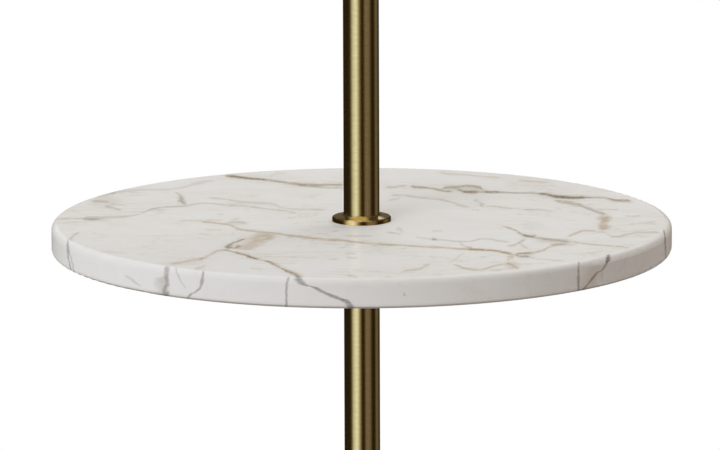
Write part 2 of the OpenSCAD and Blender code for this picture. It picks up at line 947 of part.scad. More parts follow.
// Springy strip bent up under the bulb's contact
module centre_contact() {
    half = contact_d / 2;
    color(bright_brass)
        translate([0, half / 2, holder_z + body_top])
            rotate([90, 0, 0])
                linear_extrude(half)
                    polygon([
                        [-half, 0],
                        [half, 0],
                        [half, screw_wall],
                        [half - screw_wall, contact_rise],
                        [-half / 2, contact_rise],
                        [-half / 2, contact_rise - screw_wall],
                        [half - 2 * screw_wall, contact_rise - screw_wall],
                        [half - screw_wall, screw_wall],
                        [-half, screw_wall]
                    ]);
}

module switch_spindle() {
    tip = knob_y + knob_hub_len;
    start = spindle_in + stand_gap;
    color(steel)
        translate([0, -start, holder_z + spindle_h])
            rotate([90, 0, 0])
                cylinder(d = spindle_d, h = tip - start);
}

// Hub with a flat key that has round ends
module switch_knob() {
    key_r = key_len / 2;
    root_depth = 1;
    color(brass)
        translate([0, -knob_y, holder_z + spindle_h])
            rotate([90, 0, 0])
                difference() {
                    union() {
                        cylinder(d = knob_hub_d, h = knob_hub_len);
                        translate([0, key_t / 2, knob_hub_len + key_r - root_depth])
                            rotate([90, 0, 0])
                                linear_extrude(key_t) {
                                    square([key_w - key_len, key_len], center = true);
                                    for (side = [-1, 1])
                                        translate([side * (key_w - key_len) / 2, 0])
                                            circle(r = key_r);
                                }
                    }
                    translate([0, 0, -over])
                        cylinder(d = spindle_d + 2 * press_clear, h = knob_hub_len + over);
                }
}

// Bulb

module bulb_contact() {
    color(bright_brass)
        translate([0, 0, bulb_z])
            cylinder(d = contact_d, h = contact_t);
}

module bulb_insulator() {
    color(plastic)
        turned([
            [0, 0],
            [contact_d / 2, 0],
            [bulb_cap_r - thread_depth, insulator_h],
            [0, insulator_h]
        ], bulb_z + contact_t);
}

module bulb_cap() {
    turns = floor((bulb_cap_len - 2 * thread_margin) / thread_pitch);
    wall = 2 * screw_wall;
    root_r = bulb_cap_r - thread_depth;
    color(steel)
        turned(concat(
            [[root_r - wall, 0], [root_r, 0]],
            thread_points(bulb_cap_r - thread_depth / 2, thread_margin, turns, thread_depth),
            [[root_r, bulb_cap_len], [root_r - wall, bulb_cap_len]]
        ), bulb_z + cap_z);
}

module bulb_body() {
    color(white_plastic)
        turned([
            [collar_r - 2 * bulb_wall, cap_top],
            [collar_r, cap_top],
            [collar_r, collar_z],
            [split_r, split_z],
            [split_r - bulb_wall, split_z],
            [collar_r - bulb_wall, collar_z],
            [collar_r - 2 * bulb_wall, collar_z - 2 * bulb_wall]
        ], bulb_z);
}

module bulb_globe() {
    inner_r = bulb_r - bulb_wall;
    open_a = asin(globe_split / bulb_r);
    inner_a = asin(globe_split / inner_r);
    color(white_plastic)
        turned(concat(
            arc(0, globe_z, bulb_r, -open_a, 90),
            arc(0, globe_z, inner_r, 90, -inner_a)
        ), bulb_z);
}

// Shade

// Cone-shaped band between two heights, set off from the shade's outside
module shade_band(z0, z1, inner, outer) {
    turned([
        [shade_r(z0) + inner, z0],
        [shade_r(z0) + outer, z0],
        [shade_r(z1) + outer, z1],
        [shade_r(z1) + inner, z1]
    ]);
}

// Ring of wire just inside the shade at a height
module wire_ring(z) {
    rotate_extrude()
        translate([wire_ring_r(z), z])
            circle(d = wire_d);
}

// Straight wire between two points of one upright plane
module wire_run(x0, z0, x1, z1) {
    run = sqrt(pow(x1 - x0, 2) + pow(z1 - z0, 2));
    translate([x0, 0, z0])
        rotate([0, atan2(x1 - x0, z1 - z0), 0])
            cylinder(d = arm_d, h = run);
}

// Washer with bent arms that end against the inside of the top ring
module spider_fitter() {
    ring_x = wire_ring_r(top_ring_z);
    knee_x = ring_x - arm_rise_run;
    hub_x = spider_hub_d / 2 - arm_d;
    knee_d = arm_d + 2 * bend_swell;
    slope_a = atan2(top_ring_z - spider_z, arm_rise_run);
    weld = wire_d / 2 + press_clear;
    end_x = ring_x - weld * cos(slope_a);
    end_z = top_ring_z - weld * sin(slope_a);
    color(bright_brass) {
        for (i = [0 : arm_count - 1])
            rotate([0, 0, first_arm_a + i * 360 / arm_count]) {
                wire_run(hub_x, spider_z, knee_x, spider_z);
                translate([knee_x, 0, spider_z])
                    sphere(d = knee_d);
                wire_run(knee_x, spider_z, end_x, end_z);
            }
        tube(spider_hub_d / 2, finial_stud_d / 2 + pass_clear, seat_top_z, spider_hub_t);
    }
}

module shade_top_ring() {
    color(bright_brass)
        wire_ring(top_ring_z);
}

module shade_bottom_ring() {
    color(bright_brass)
        wire_ring(bottom_ring_z);
}

module shade_liner() {
    color(white_plastic)
        shade_band(shade_z, shade_top_z, -fabric_t - liner_t, -fabric_t);
}

module shade_fabric() {
    color(linen)
        shade_band(shade_z, shade_top_z, -fabric_t, 0);
}

// Folded tape: outside band, the turn over the edge and the short inside fold
module edge_tape(edge_z, up) {
    inside = -fabric_t - liner_t - tape_t;
    band_z = edge_z - up * tape_w;
    fold_z = edge_z - up * tape_turn;
    turn_z = edge_z + up * tape_t;
    turned([
        [shade_r(band_z), band_z],
        [shade_r(band_z) + tape_t, band_z],
        [shade_r(turn_z) + tape_t, turn_z],
        [shade_r(turn_z) + inside, turn_z],
        [shade_r(fold_z) + inside, fold_z],
        [shade_r(fold_z) + inside + tape_t, fold_z],
        [shade_r(edge_z) + inside + tape_t, edge_z],
        [shade_r(edge_z), edge_z]
    ]);
}

module shade_tapes() {
    color(linen) {
        edge_tape(shade_top_z, 1);
        edge_tape(shade_z, -1);
    }
}

module finial() {
    foot_t = 1.5;
    cove = 1;
    neck_len = 5;
    barrel_z = foot_t + neck_len;
    barrel_r = finial_d / 2;
    color(brass)
        turned(concat(
            [
                [finial_stud_d / 2 + run_clear, 0],
                [finial_foot_d / 2, 0],
                [finial_foot_d / 2, foot_t],
                [finial_neck_d / 2, foot_t + cove],
                [finial_neck_d / 2, barrel_z]
            ],
            arc(barrel_r - finial_round, barrel_z + finial_round, finial_round, -90, 0),
            arc(barrel_r - finial_round, finial_h - finial_round, finial_round, 0, 90),
            [
                [0, finial_h],
                [0, finial_stud_len + stand_gap],
                [finial_stud_d / 2 + run_clear, finial_stud_len + stand_gap]
            ]
        ), finial_z);
}

felt_pad();
base_weight();
base_cover();
cord_gland();
base_washer();
base_nut();
base_stud();
base_ring();
pole_lower();
pole_middle();
pole_upper();
pole_plugs();
shelf_ring_lower();
shelf_plate();
shelf_pad();
marble_shelf();
shelf_bush();
shelf_washer();
shelf_ring_upper();
shelf_stud();
pole_joiner();
top_stud();
neck_cap();
harp_saddle();
harp();
harp_seat();
harp_sleeve_left();
harp_sleeve_right();
socket_cap();
socket_shell();
socket_liner();
socket_body();
screw_shell();
centre_contact();
terminal_screws();
switch_spindle();
switch_knob();
bulb_contact();
bulb_insulator();
bulb_cap();
bulb_body();
bulb_globe();
spider_fitter();
shade_top_ring();
shade_bottom_ring();
shade_liner();
shade_fabric();
shade_tapes();
finial();
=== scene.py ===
"""Looks of the shelf floor lamp: camera, studio, materials and the pieces made in mesh code."""

import json
import math

import bpy
from mathutils import Matrix, Vector, noise


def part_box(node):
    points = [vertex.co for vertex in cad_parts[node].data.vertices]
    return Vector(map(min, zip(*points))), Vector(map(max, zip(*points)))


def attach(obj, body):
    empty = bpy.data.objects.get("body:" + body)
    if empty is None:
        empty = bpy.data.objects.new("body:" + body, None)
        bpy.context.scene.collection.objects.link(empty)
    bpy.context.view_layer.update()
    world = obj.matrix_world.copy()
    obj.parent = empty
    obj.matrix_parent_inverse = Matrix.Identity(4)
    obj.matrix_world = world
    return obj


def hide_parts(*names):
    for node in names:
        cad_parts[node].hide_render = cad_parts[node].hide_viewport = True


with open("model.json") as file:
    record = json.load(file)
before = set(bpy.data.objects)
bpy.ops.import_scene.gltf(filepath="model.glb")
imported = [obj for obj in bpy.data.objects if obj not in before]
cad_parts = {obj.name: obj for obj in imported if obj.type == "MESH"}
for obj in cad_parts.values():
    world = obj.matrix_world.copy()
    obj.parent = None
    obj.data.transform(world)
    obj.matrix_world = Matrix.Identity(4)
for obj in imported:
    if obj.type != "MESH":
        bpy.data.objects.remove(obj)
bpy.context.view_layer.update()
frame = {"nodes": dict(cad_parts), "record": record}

MM = 0.001

# Sizes taken from the frame
SHELF_LOW, SHELF_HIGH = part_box("marble_shelf")
SHELF_TOP = SHELF_HIGH.z
SHELF_R = SHELF_HIGH.x
SHELF_T = SHELF_HIGH.z - SHELF_LOW.z
SHADE_LOW, SHADE_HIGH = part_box("shade_fabric")
TOP_RING_LOW, TOP_RING_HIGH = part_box("shade_top_ring")
HARP_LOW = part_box("harp")[0]
SEAT_LOW, SEAT_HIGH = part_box("harp_seat")
FELT_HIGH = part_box("felt_pad")[1]

# Camera: the middle of the shelf's top in the photograph's frame, and how it is seen
IMAGE_W = 720
IMAGE_H = 450
SHELF_CENTRE_X = 361.6
SHELF_CENTRE_Y = 220.4
CAMERA_DISTANCE = 3.8
CAMERA_RISE = math.radians(10.4)
CAMERA_ROLL = math.radians(0.2)
FOCAL_PX = 6200
SENSOR_W = 36.0

# Shade, as the frame's fabric, liner and tapes have it
SHADE_TOP_R = 178 * MM
SHADE_BOTTOM_R = SHADE_HIGH.x
FABRIC_T = 0.6 * MM
LINER_T = 0.5 * MM
TAPE_T = 0.4 * MM
TAPE_W = 9 * MM
TAPE_FOLD = 2 * MM
LAP_W = 9 * MM

# Harp wire, as the frame's harp has it
WIRE_R = 2.1 * MM
LEG_X = 28 * MM
HARP_FOOT = 30 * MM
HARP_BEND_R = 45 * MM
HARP_LEAN = math.radians(20)
HARP_FLAT = 0.5 * MM

# Directions of the spider's arms, in degrees
ARM_ANGLES = (90, 210, 330)


def rgb(red, green, blue):
    return (red, green, blue, 1.0)


def toned(colour, share):
    return rgb(*(part * share for part in colour[:3]))


WHITE = rgb(1.0, 1.0, 1.0)


# Material nodes


class Tree:
    """A node tree, whose nodes are added and joined by short calls."""

    def __init__(self, tree):
        self.nodes = tree.nodes
        self.links = tree.links

    def put(self, socket, value):
        if isinstance(value, bpy.types.NodeSocket):
            self.links.new(value, socket)
        else:
            socket.default_value = value

    def add(self, kind, values=(), **settings):
        node = self.nodes.new("ShaderNode" + kind)
        for key, setting in settings.items():
            setattr(node, key, setting)
        for socket, value in zip(node.inputs, values):
            self.put(socket, value)
        return node

    def math(self, operation, *values):
        return self.add("Math", values, operation=operation).outputs[0]

    def plus(self, first, second):
        return self.math("ADD", first, second)

    def less(self, first, second):
        return self.math("SUBTRACT", first, second)

    def times(self, first, second):
        return self.math("MULTIPLY", first, second)

    def times_plus(self, value, factor, more):
        return self.math("MULTIPLY_ADD", value, factor, more)

    def size(self, value):
        """A value without its sign."""
        return self.math("ABSOLUTE", value)

    def larger(self, first, second):
        return self.math("MAXIMUM", first, second)

    def around(self, texture, middle, spread):
        """A texture's 0..1 taken to middle, give or take half the spread."""
        return self.times_plus(self.less(texture, 0.5), spread, middle)

    def radius(self, x, y):
        return self.math("SQRT", self.plus(self.times(x, x), self.times(y, y)))

    def span(self, value, low, high, to_low=0.0, to_high=1.0, shape="SMOOTHSTEP"):
        """value taken from low..high to to_low..to_high, and held at both ends."""
        values = (value, low, high, to_low, to_high)
        return self.add("MapRange", values, interpolation_type=shape).outputs[0]

    def xyz(self, vector):
        return self.add("SeparateXYZ", (vector,)).outputs

    def vector(self, x, y, z):
        return self.add("CombineXYZ", (x, y, z)).outputs[0]

    def scaled(self, vector, factors):
        return self.add("VectorMath", (vector, factors), operation="MULTIPLY").outputs[0]

    def noise(self, *values, output=0):
        """Noise by its vector, scale, detail, roughness and, where given, distortion."""
        node = self.add("TexNoise")
        for key, value in zip(("Vector", "Scale", "Detail", "Roughness", "Distortion"), values):
            self.put(node.inputs[key], value)
        return node.outputs[output]

    def mix(self, factor, first, second, blend="MIX"):
        """Two colours mixed. The node's colours are its inputs 6 and 7 and its output 2."""
        node = self.add("Mix", data_type="RGBA", blend_type=blend)
        self.put(node.inputs[0], factor)
        self.put(node.inputs[6], first)
        self.put(node.inputs[7], second)
        return node.outputs[2]

    def blend(self, value, low, high, first, second, most=1.0):
        """The first colour, taken towards the second as value goes from low to high."""
        return self.mix(self.span(value, low, high, 0.0, most), first, second)


class Look(Tree):
    """The nodes of one material."""

    def __init__(self, name, colour, roughness, metallic=0.0):
        self.material = bpy.data.materials.new(name)
        self.material.use_nodes = True
        super().__init__(self.material.node_tree)
        self.shader = self.nodes["Principled BSDF"]
        self.place = self.add("TexCoord").outputs["Object"]
        self.set("Base Color", colour)
        self.set("Roughness", roughness)
        self.set("Metallic", metallic)

    def set(self, name, value):
        self.put(self.shader.inputs[name], value)

    def bump(self, height, distance):
        node = self.add("Bump")
        self.put(node.inputs["Height"], height)
        node.inputs["Distance"].default_value = distance
        self.set("Normal", node.outputs[0])

    def surface(self, node):
        """Puts a shader node in the place of the usual one."""
        self.put(self.nodes["Material Output"].inputs["Surface"], node.outputs[0])


def turned_metal(name, tint, dark, roughness, line_pitch, line_depth):
    """Metal with fine lines that run round the lamp's axis and a slow change of tone."""
    look = Look(name, tint, roughness, 1.0)
    x, y, z = look.xyz(look.place)
    slow_turn = look.times(look.math("ARCTAN2", y, x), 0.004)
    lines = look.vector(look.radius(x, y), z, slow_turn)
    fine = look.noise(lines, 1 / line_pitch, 3.0, 0.65)
    broad = look.noise(lines, 0.12 / line_pitch, 2.0, 0.5)
    patina = look.noise(look.place, 14.0, 4.0, 0.6)
    aged = look.blend(patina, 0.35, 0.75, tint, dark, 0.35)
    look.set("Base Color", look.blend(broad, 0.35, 0.65, aged, dark, 0.35))
    worn = look.around(fine, roughness, 0.18)
    look.set("Roughness", look.around(patina, worn, 0.08))
    look.set("Anisotropic", 0.6)
    look.set("Anisotropic Rotation", 0.25)
    look.bump(look.plus(fine, broad), line_depth)
    return look.material


def satin_metal(name, tint, dark, roughness):
    """Metal with an even fine grain, a slow change of tone and small marks."""
    look = Look(name, tint, roughness, 1.0)
    fine = look.noise(look.place, 2500.0, 3.0, 0.6)
    patina = look.noise(look.place, 60.0, 4.0, 0.6)
    look.set("Base Color", look.blend(patina, 0.35, 0.75, tint, dark, 0.4))
    look.set("Roughness", look.around(patina, roughness, 0.16))
    look.bump(fine, 0.01 * MM)
    return look.material


def moulded(name, colour, roughness, grain=900.0, depth=0.04 * MM, specular=0.5):
    """Moulded plastic or rubber with a fine skin and faint clouding."""
    look = Look(name, colour, roughness)
    skin = look.noise(look.place, grain, 2.0, 0.5)
    cloud = look.noise(look.place, 35.0, 3.0, 0.55)
    look.set("Base Color", look.blend(cloud, 0.35, 0.7, colour, toned(colour, 0.86), 0.5))
    look.set("Roughness", look.around(cloud, roughness, 0.15))
    look.set("Specular IOR Level", specular)
    look.bump(skin, depth)
    return look.material


def cast_iron(name, colour, roughness):
    look = Look(name, colour, roughness)
    grit = look.noise(look.place, 700.0, 4.0, 0.7)
    pits = look.add("TexVoronoi", (look.place,), feature="DISTANCE_TO_EDGE")
    pits.inputs["Scale"].default_value = 160.0
    rust = look.span(look.noise(look.place, 25.0, 5.0, 0.65), 0.52, 0.75)
    look.set("Base Color", look.mix(rust, colour, rgb(0.17, 0.1, 0.06)))
    look.set("Metallic", 0.4)
    look.bump(look.plus(grit, look.span(pits.outputs[0], 0.0, 0.25)), 0.3 * MM)
    return look.material


def felt(name, colour):
    look = Look(name, colour, 0.95)
    fibre = look.noise(look.scaled(look.place, (1.0, 3.0, 1.0)), 900.0, 5.0, 0.75, 1.5)
    cross = look.noise(look.scaled(look.place, (3.0, 1.0, 1.0)), 700.0, 5.0, 0.75, 1.5)
    fluff = look.plus(fibre, cross)
    look.set("Base Color", look.blend(fluff, 0.85, 1.35, colour, toned(colour, 2.2)))
    look.set("Sheen Weight", 0.5)
    look.set("Specular IOR Level", 0.15)
    look.bump(fluff, 0.4 * MM)
    return look.material


def card(name, colour):
    look = Look(name, colour, 0.85)
    fibre = look.noise(look.scaled(look.place, (1.0, 1.0, 6.0)), 500.0, 4.0, 0.7)
    look.set("Base Color", look.blend(fibre, 0.35, 0.7, toned(colour, 0.75), colour))
    look.bump(fibre, 0.1 * MM)
    return look.material


def opal(name, colour):
    look = Look(name, colour, 0.28)
    cloud = look.noise(look.place, 60.0, 3.0, 0.5)
    warm = rgb(0.86, 0.84, 0.79)
    look.set("Base Color", look.blend(cloud, 0.3, 0.7, colour, warm, 0.35))
    look.set("Roughness", look.span(cloud, 0.3, 0.7, 0.24, 0.34))
    look.set("Subsurface Weight", 0.25)
    look.set("Subsurface Radius", (0.01, 0.009, 0.008))
    look.bump(look.noise(look.place, 450.0, 2.0, 0.5), 0.03 * MM)
    return look.material


def weave(name, colour, dark, pitch, slub, depth):
    """Plain-woven cloth on the shade: threads round it and up it, with thick and thin places."""
    look = Look(name, colour, 0.9)
    x, y, z = look.xyz(look.place)
    around = look.times(look.math("ARCTAN2", y, x), SHADE_BOTTOM_R / pitch)
    up = look.math("DIVIDE", z, pitch * 1.08)
    wave_place = look.vector(look.times(around, 0.03), look.times(up, 0.9), 0.0)
    warp_place = look.vector(look.times(around, 0.9), look.times(up, 0.03), 4.0)
    weft_slub = look.noise(wave_place, slub, 4.0, 0.6)
    warp_slub = look.noise(warp_place, slub, 4.0, 0.6)
    warp = look.math("SINE", look.times(around, math.pi))
    weft = look.math("SINE", look.times(up, math.pi))
    over = look.times(warp, weft)
    warp_part = look.times(look.size(warp), look.times_plus(over, 0.5, 0.5))
    weft_part = look.times(look.size(weft), look.times_plus(over, -0.5, 0.5))
    threads = look.plus(warp_part, weft_part)
    slubs = look.plus(weft_slub, warp_slub)
    tone = look.times_plus(threads, 0.35, look.span(slubs, 0.7, 1.3))
    look.set("Base Color", look.blend(tone, 0.2, 1.2, dark, colour))
    look.set("Roughness", look.span(slubs, 0.6, 1.4, 0.95, 0.8))
    look.set("Sheen Weight", 0.25)
    look.set("Specular IOR Level", 0.2)
    look.bump(look.times_plus(slubs, 1.4, threads), depth)
    return look.material


# Marble

# Colour of each kind of vein at full strength, as a share of the stone's own colour
VEIN_TINTS = {
    "grey": rgb(0.53, 0.505, 0.455),
    "blue": rgb(0.33, 0.33, 0.335),
    "deep": rgb(0.4, 0.34, 0.28),
    "dark": rgb(0.48, 0.425, 0.35),
    "olive": rgb(0.57, 0.53, 0.42),
    "tan": rgb(0.68, 0.55, 0.4),
    "rose": rgb(0.7, 0.6, 0.53),
}

# Veins on the top: direction that they run in, tint, half width, strength and their points,
# in millimetres from the middle of the shelf. Those that run along x give (x, y), those that
# run along y give (y, x).
TOP_VEINS = (
    # Back left
    ("x", "olive", 3.6, 0.9, (-90, 161), (-79, 155), (-66, 147), (-53, 138), (-42, 130), (-36, 126),
     (-20, 125), (-8, 125)),
    ("x", "dark", 4.2, 0.6, (-88, 160), (-79, 155), (-66, 147), (-58, 142)),
    ("x", "grey", 2.8, 0.55, (-43, 128), (-34, 121), (-20, 115), (-8, 114)),
    ("x", "tan", 2.4, 0.25, (-60, 150), (-56, 162), (-53, 167), (-46, 165)),
    ("x", "grey", 3.0, 0.3, (-160, 97), (-141, 108), (-119, 112), (-105, 131), (-98, 139),
     (-90, 143)),
    ("x", "olive", 3.6, 0.45, (-168, 84), (-160, 94), (-152, 99)),
    ("x", "dark", 3.6, 0.42, (-170, 71), (-163, 69), (-155, 66)),
    ("x", "grey", 2.5, 0.42, (-161, 55), (-154, 45), (-147, 35)),
    ("x", "rose", 2.1, 0.3, (-160, 66), (-150, 57), (-143, 54)),
    ("y", "grey", 0.9, 0.6, (52, -109), (66, -112), (84, -113), (103, -117)),
    ("x", "dark", 3.6, 0.45, (-116, 71), (-112, 68), (-108, 60)),
    # Left
    ("x", "grey", 2.1, 0.42, (-190, 9), (-172, 9), (-160, 6), (-155, 4)),
    ("x", "dark", 2.8, 0.45, (-174, 9), (-166, 7), (-159, 5)),
    ("x", "grey", 2.2, 0.45, (-174, 13), (-155, 15), (-146, 16), (-135, 30), (-123, 47), (-110, 51),
     (-97, 61), (-89, 58), (-82, 52), (-68, 48), (-61, 42), (-54, 37), (-48, 33), (-37, 22)),
    ("x", "grey", 2.5, 0.34, (-98, 82), (-86, 76), (-75, 65), (-57, 59), (-48, 44), (-40, 39),
     (-27, 37), (-19, 39)),
    ("x", "rose", 2.5, 0.4, (-97, 3), (-84, 2)),
    ("x", "olive", 2.2, 0.3, (-90, 21), (-84, 21)),
    ("x", "olive", 2.7, 0.42, (-84, -8), (-76, -5), (-69, -11)),
    ("x", "olive", 2.2, 0.32, (-81, 3), (-74, 9)),
    ("x", "olive", 2.5, 0.28, (-115, -6), (-104, 1), (-92, -3)),
    ("x", "rose", 2.0, 0.25, (-97, -28), (-82, -30)),
    ("y", "grey", 0.9, 0.4, (-68, -176), (-52, -175), (-41, -173), (-33, -170)),
    # Long tan vein through the middle
    ("x", "tan", 2.4, 0.7, (-101, -3), (-94, -5), (-82, -13), (-74, -28), (-64, -36), (-54, -41),
     (-45, -48), (-34, -56), (-23, -63), (-12, -67), (0, -74), (10, -79), (28, -85), (48, -91),
     (58, -95), (72, -99), (85, -107), (93, -116)),
    ("x", "dark", 1.7, 0.62, (60, -95), (72, -99), (80, -102), (87, -109), (93, -116)),
    ("y", "tan", 5.0, 0.42, (-100, -71), (-90, -68), (-81, -66), (-68, -62), (-56, -59),
     (-41, -56)),
    # Dark knot and the veins that leave it
    ("y", "dark", 1.3, 0.95, (-96, -80), (-85, -80), (-77, -79), (-71, -76), (-66, -73),
     (-57, -69)),
    ("y", "grey", 1.0, 0.85, (-95, -79), (-91, -76), (-85, -74), (-76, -76)),
    ("y", "dark", 1.1, 0.8, (-196, -34), (-176, -39), (-165, -43), (-155, -48), (-144, -52),
     (-133, -56), (-128, -62), (-119, -66), (-107, -73), (-99, -80), (-93, -84)),
    ("y", "tan", 1.9, 0.45, (-190, -34), (-165, -42), (-144, -51), (-133, -55), (-128, -61),
     (-107, -71), (-98, -79)),
    ("x", "olive", 2.7, 0.6, (-69, -116), (-65, -120)),
    ("x", "tan", 1.9, 0.5, (-99, -131), (-95, -125), (-89, -109), (-85, -99), (-78, -95)),
    ("x", "tan", 2.5, 0.45, (-116, -141), (-110, -138), (-101, -130), (-91, -121)),
    ("x", "tan", 2.0, 0.35, (-99, -158), (-91, -147)),
    ("x", "rose", 1.8, 0.35, (-66, -154), (-57, -158)),
    ("x", "tan", 1.8, 0.22, (-54, -138), (-36, -140)),
    # Back right
    ("x", "grey", 2.4, 0.45, (12, 118), (20, 116), (26, 120), (32, 117)),
    ("x", "dark", 3.4, 0.8, (28, 119), (35, 116), (44, 111), (52, 102), (60, 98)),
    ("x", "olive", 2.7, 0.9, (47, 107), (54, 113), (62, 117), (67, 119), (74, 115), (77, 105),
     (80, 98)),
    ("x", "dark", 2.7, 0.7, (58, 112), (62, 105), (64, 99), (69, 97), (76, 99)),
    ("x", "grey", 3.0, 0.8, (60, 98), (79, 97), (96, 94), (111, 91), (120, 83), (128, 77),
     (141, 76), (152, 75), (161, 66), (171, 66)),
    ("x", "dark", 3.0, 0.65, (76, 97), (88, 96)),
    ("x", "dark", 4.1, 0.8, (108, 92), (116, 87), (124, 79), (134, 75), (143, 76)),
    ("x", "tan", 3.3, 0.35, (150, 72), (160, 64), (172, 60)),
    ("x", "olive", 2.5, 0.42, (16, 90), (27, 86), (37, 79), (48, 72), (56, 62), (63, 48), (71, 42)),
    ("x", "olive", 2.2, 0.35, (15, 69), (21, 72), (25, 78)),
    ("x", "olive", 2.2, 0.32, (67, 36), (74, 34)),
    ("y", "olive", 0.9, 0.4, (42, 75), (53, 75), (61, 74), (67, 71), (76, 71)),
    ("x", "grey", 2.0, 0.36, (75, 51), (88, 43), (100, 36), (112, 33), (122, 25)),
    ("x", "tan", 3.0, 0.34, (46, 172), (57, 163), (69, 159), (80, 152), (92, 147)),
    ("x", "rose", 2.7, 0.34, (96, 143), (105, 138), (113, 133), (120, 128)),
    ("x", "grey", 3.0, 0.66, (117, 72), (124, 62), (135, 52), (140, 37), (147, 23), (153, 17)),
    ("x", "grey", 2.0, 0.4, (143, 39), (150, 34), (162, 34)),
    ("x", "rose", 2.2, 0.5, (160, 15), (167, 12), (174, 14)),
    ("x", "rose", 1.7, 0.34, (160, -18), (175, -12), (184, -14)),
    # Right
    ("y", "tan", 2.2, 0.55, (-37, 147), (-24, 147), (-2, 149), (14, 150)),
    ("x", "tan", 1.8, 0.6, (121, -66), (127, -52), (131, -43), (136, -37), (146, -38)),
    ("x", "rose", 1.7, 0.55, (145, -37), (149, -50), (153, -57), (160, -49), (170, -44), (178, -44),
     (184, -52)),
    ("x", "olive", 1.9, 0.75, (84, -14), (92, -32), (99, -52), (107, -61), (119, -70), (128, -75)),
    ("x", "dark", 3.1, 0.7, (96, -51), (101, -54), (106, -50)),
    ("x", "tan", 1.8, 0.62, (124, -73), (132, -78), (143, -84), (156, -91), (163, -96)),
    ("x", "rose", 1.9, 0.7, (93, -116), (99, -111), (108, -102), (114, -88), (119, -82),
     (126, -79)),
    ("x", "dark", 1.9, 0.75, (90, -113), (96, -121), (102, -121)),
    ("x", "dark", 1.7, 0.7, (90, -116), (97, -109), (103, -108)),
    ("x", "olive", 1.7, 0.55, (86, -89), (91, -84), (97, -70), (101, -60)),
    ("x", "tan", 1.6, 0.42, (94, -74), (97, -85), (101, -97)),
    ("x", "rose", 1.8, 0.4, (97, -122), (109, -130), (124, -138)),
    ("x", "rose", 1.6, 0.25, (132, -108), (142, -116)),
    # Front right
    ("x", "grey", 1.9, 0.4, (30, -52), (39, -62), (50, -67), (61, -72), (68, -68), (73, -63),
     (85, -71), (92, -73)),
    ("x", "dark", 2.9, 0.62, (42, -63), (46, -64)),
    ("x", "olive", 2.5, 0.55, (62, -88), (67, -92)),
    ("x", "grey", 1.6, 0.35, (58, -76), (63, -88)),
    ("y", "tan", 0.9, 0.32, (-141, 50), (-124, 57), (-108, 61)),
    ("x", "tan", 1.9, 0.45, (20, -178), (27, -164), (34, -159), (37, -150), (44, -140)),
    ("x", "tan", 1.9, 0.6, (51, -140), (56, -147), (64, -160), (69, -163), (73, -158), (80, -147),
     (87, -142)),
    ("x", "tan", 1.7, 0.5, (85, -138), (88, -125), (92, -118)),
    ("x", "tan", 1.8, 0.5, (85, -139), (89, -149), (93, -160)),
    ("x", "rose", 1.7, 0.28, (74, -160), (91, -160)),
    # Short strokes in the middle
    ("x", "olive", 2.0, 0.45, (14, -39), (19, -42), (25, -48)),
    ("x", "olive", 2.0, 0.35, (21, -27), (26, -37)),
    ("x", "grey", 1.7, 0.3, (41, -37), (50, -37)),
    ("x", "grey", 2.5, 0.36, (-12, -51), (-1, -53), (9, -54)),
    ("x", "rose", 2.0, 0.3, (-20, -38), (-13, -34)),
    ("x", "grey", 2.2, 0.3, (-11, -80), (-3, -80)),
    ("x", "grey", 2.7, 0.34, (-11, -108), (-2, -110)),
    ("x", "grey", 2.0, 0.3, (-10, -122), (-1, -124)),
    ("x", "olive", 2.5, 0.22, (-21, -128), (-13, -127)),
    ("x", "rose", 2.2, 0.32, (-10, -176), (-1, -188)),
)

# Veins on the front of the edge: tint, half width, strength and points (depth below the top, x)
EDGE_VEINS = (
    ("blue", 1.3, 0.8, (-4, -38), (2, -36), (4, -33), (5, -28), (7, -24), (9, -19), (11, -15),
     (13, -10), (22, -4)),
    ("blue", 0.9, 0.46, (11, -16), (12, -11), (15, -8)),
    ("blue", 0.65, 0.67, (-4, -92), (5, -94), (9, -95), (12, -97), (14, -100), (22, -105)),
    ("blue", 0.6, 0.63, (-4, -42), (10, -44), (13, -44), (22, -44)),
    ("blue", 1.5, 0.6, (-4, -113), (5, -115), (9, -114), (13, -116), (22, -115)),
    ("grey", 3.4, 0.5, (3, -114), (10, -117), (22, -116)),
    ("blue", 0.9, 0.5, (13, -113), (22, -118)),
    ("grey", 0.7, 0.42, (8, -141), (11, -136), (13, -133), (15, -128)),
    ("grey", 0.7, 0.38, (-4, -111), (6, -107), (11, -103), (14, -101)),
    ("blue", 0.55, 0.63, (-4, -177), (6, -177), (12, -176), (22, -173)),
    ("blue", 0.4, 0.38, (3, -177), (12, -174), (22, -172)),
    ("deep", 0.5, 0.8, (-4, 183), (7, 184), (11, 184), (22, 185)),
    ("deep", 0.65, 0.8, (-4, 129), (6, 128), (10, 128), (12, 128), (22, 129)),
    ("deep", 0.7, 0.76, (-4, 148), (5, 145), (7, 143), (8, 140), (12, 136), (15, 133), (18, 130),
     (22, 129)),
    ("deep", 1.3, 0.5, (-4, 148), (5, 146)),
    ("deep", 1.2, 0.38, (15, 133), (22, 130)),
    ("deep", 0.5, 0.25, (8, 143), (15, 142)),
    ("tan", 5.0, 0.3, (1, 140), (10, 136), (22, 131)),
    ("grey", 0.7, 0.46, (8, 25), (11, 25)),
)

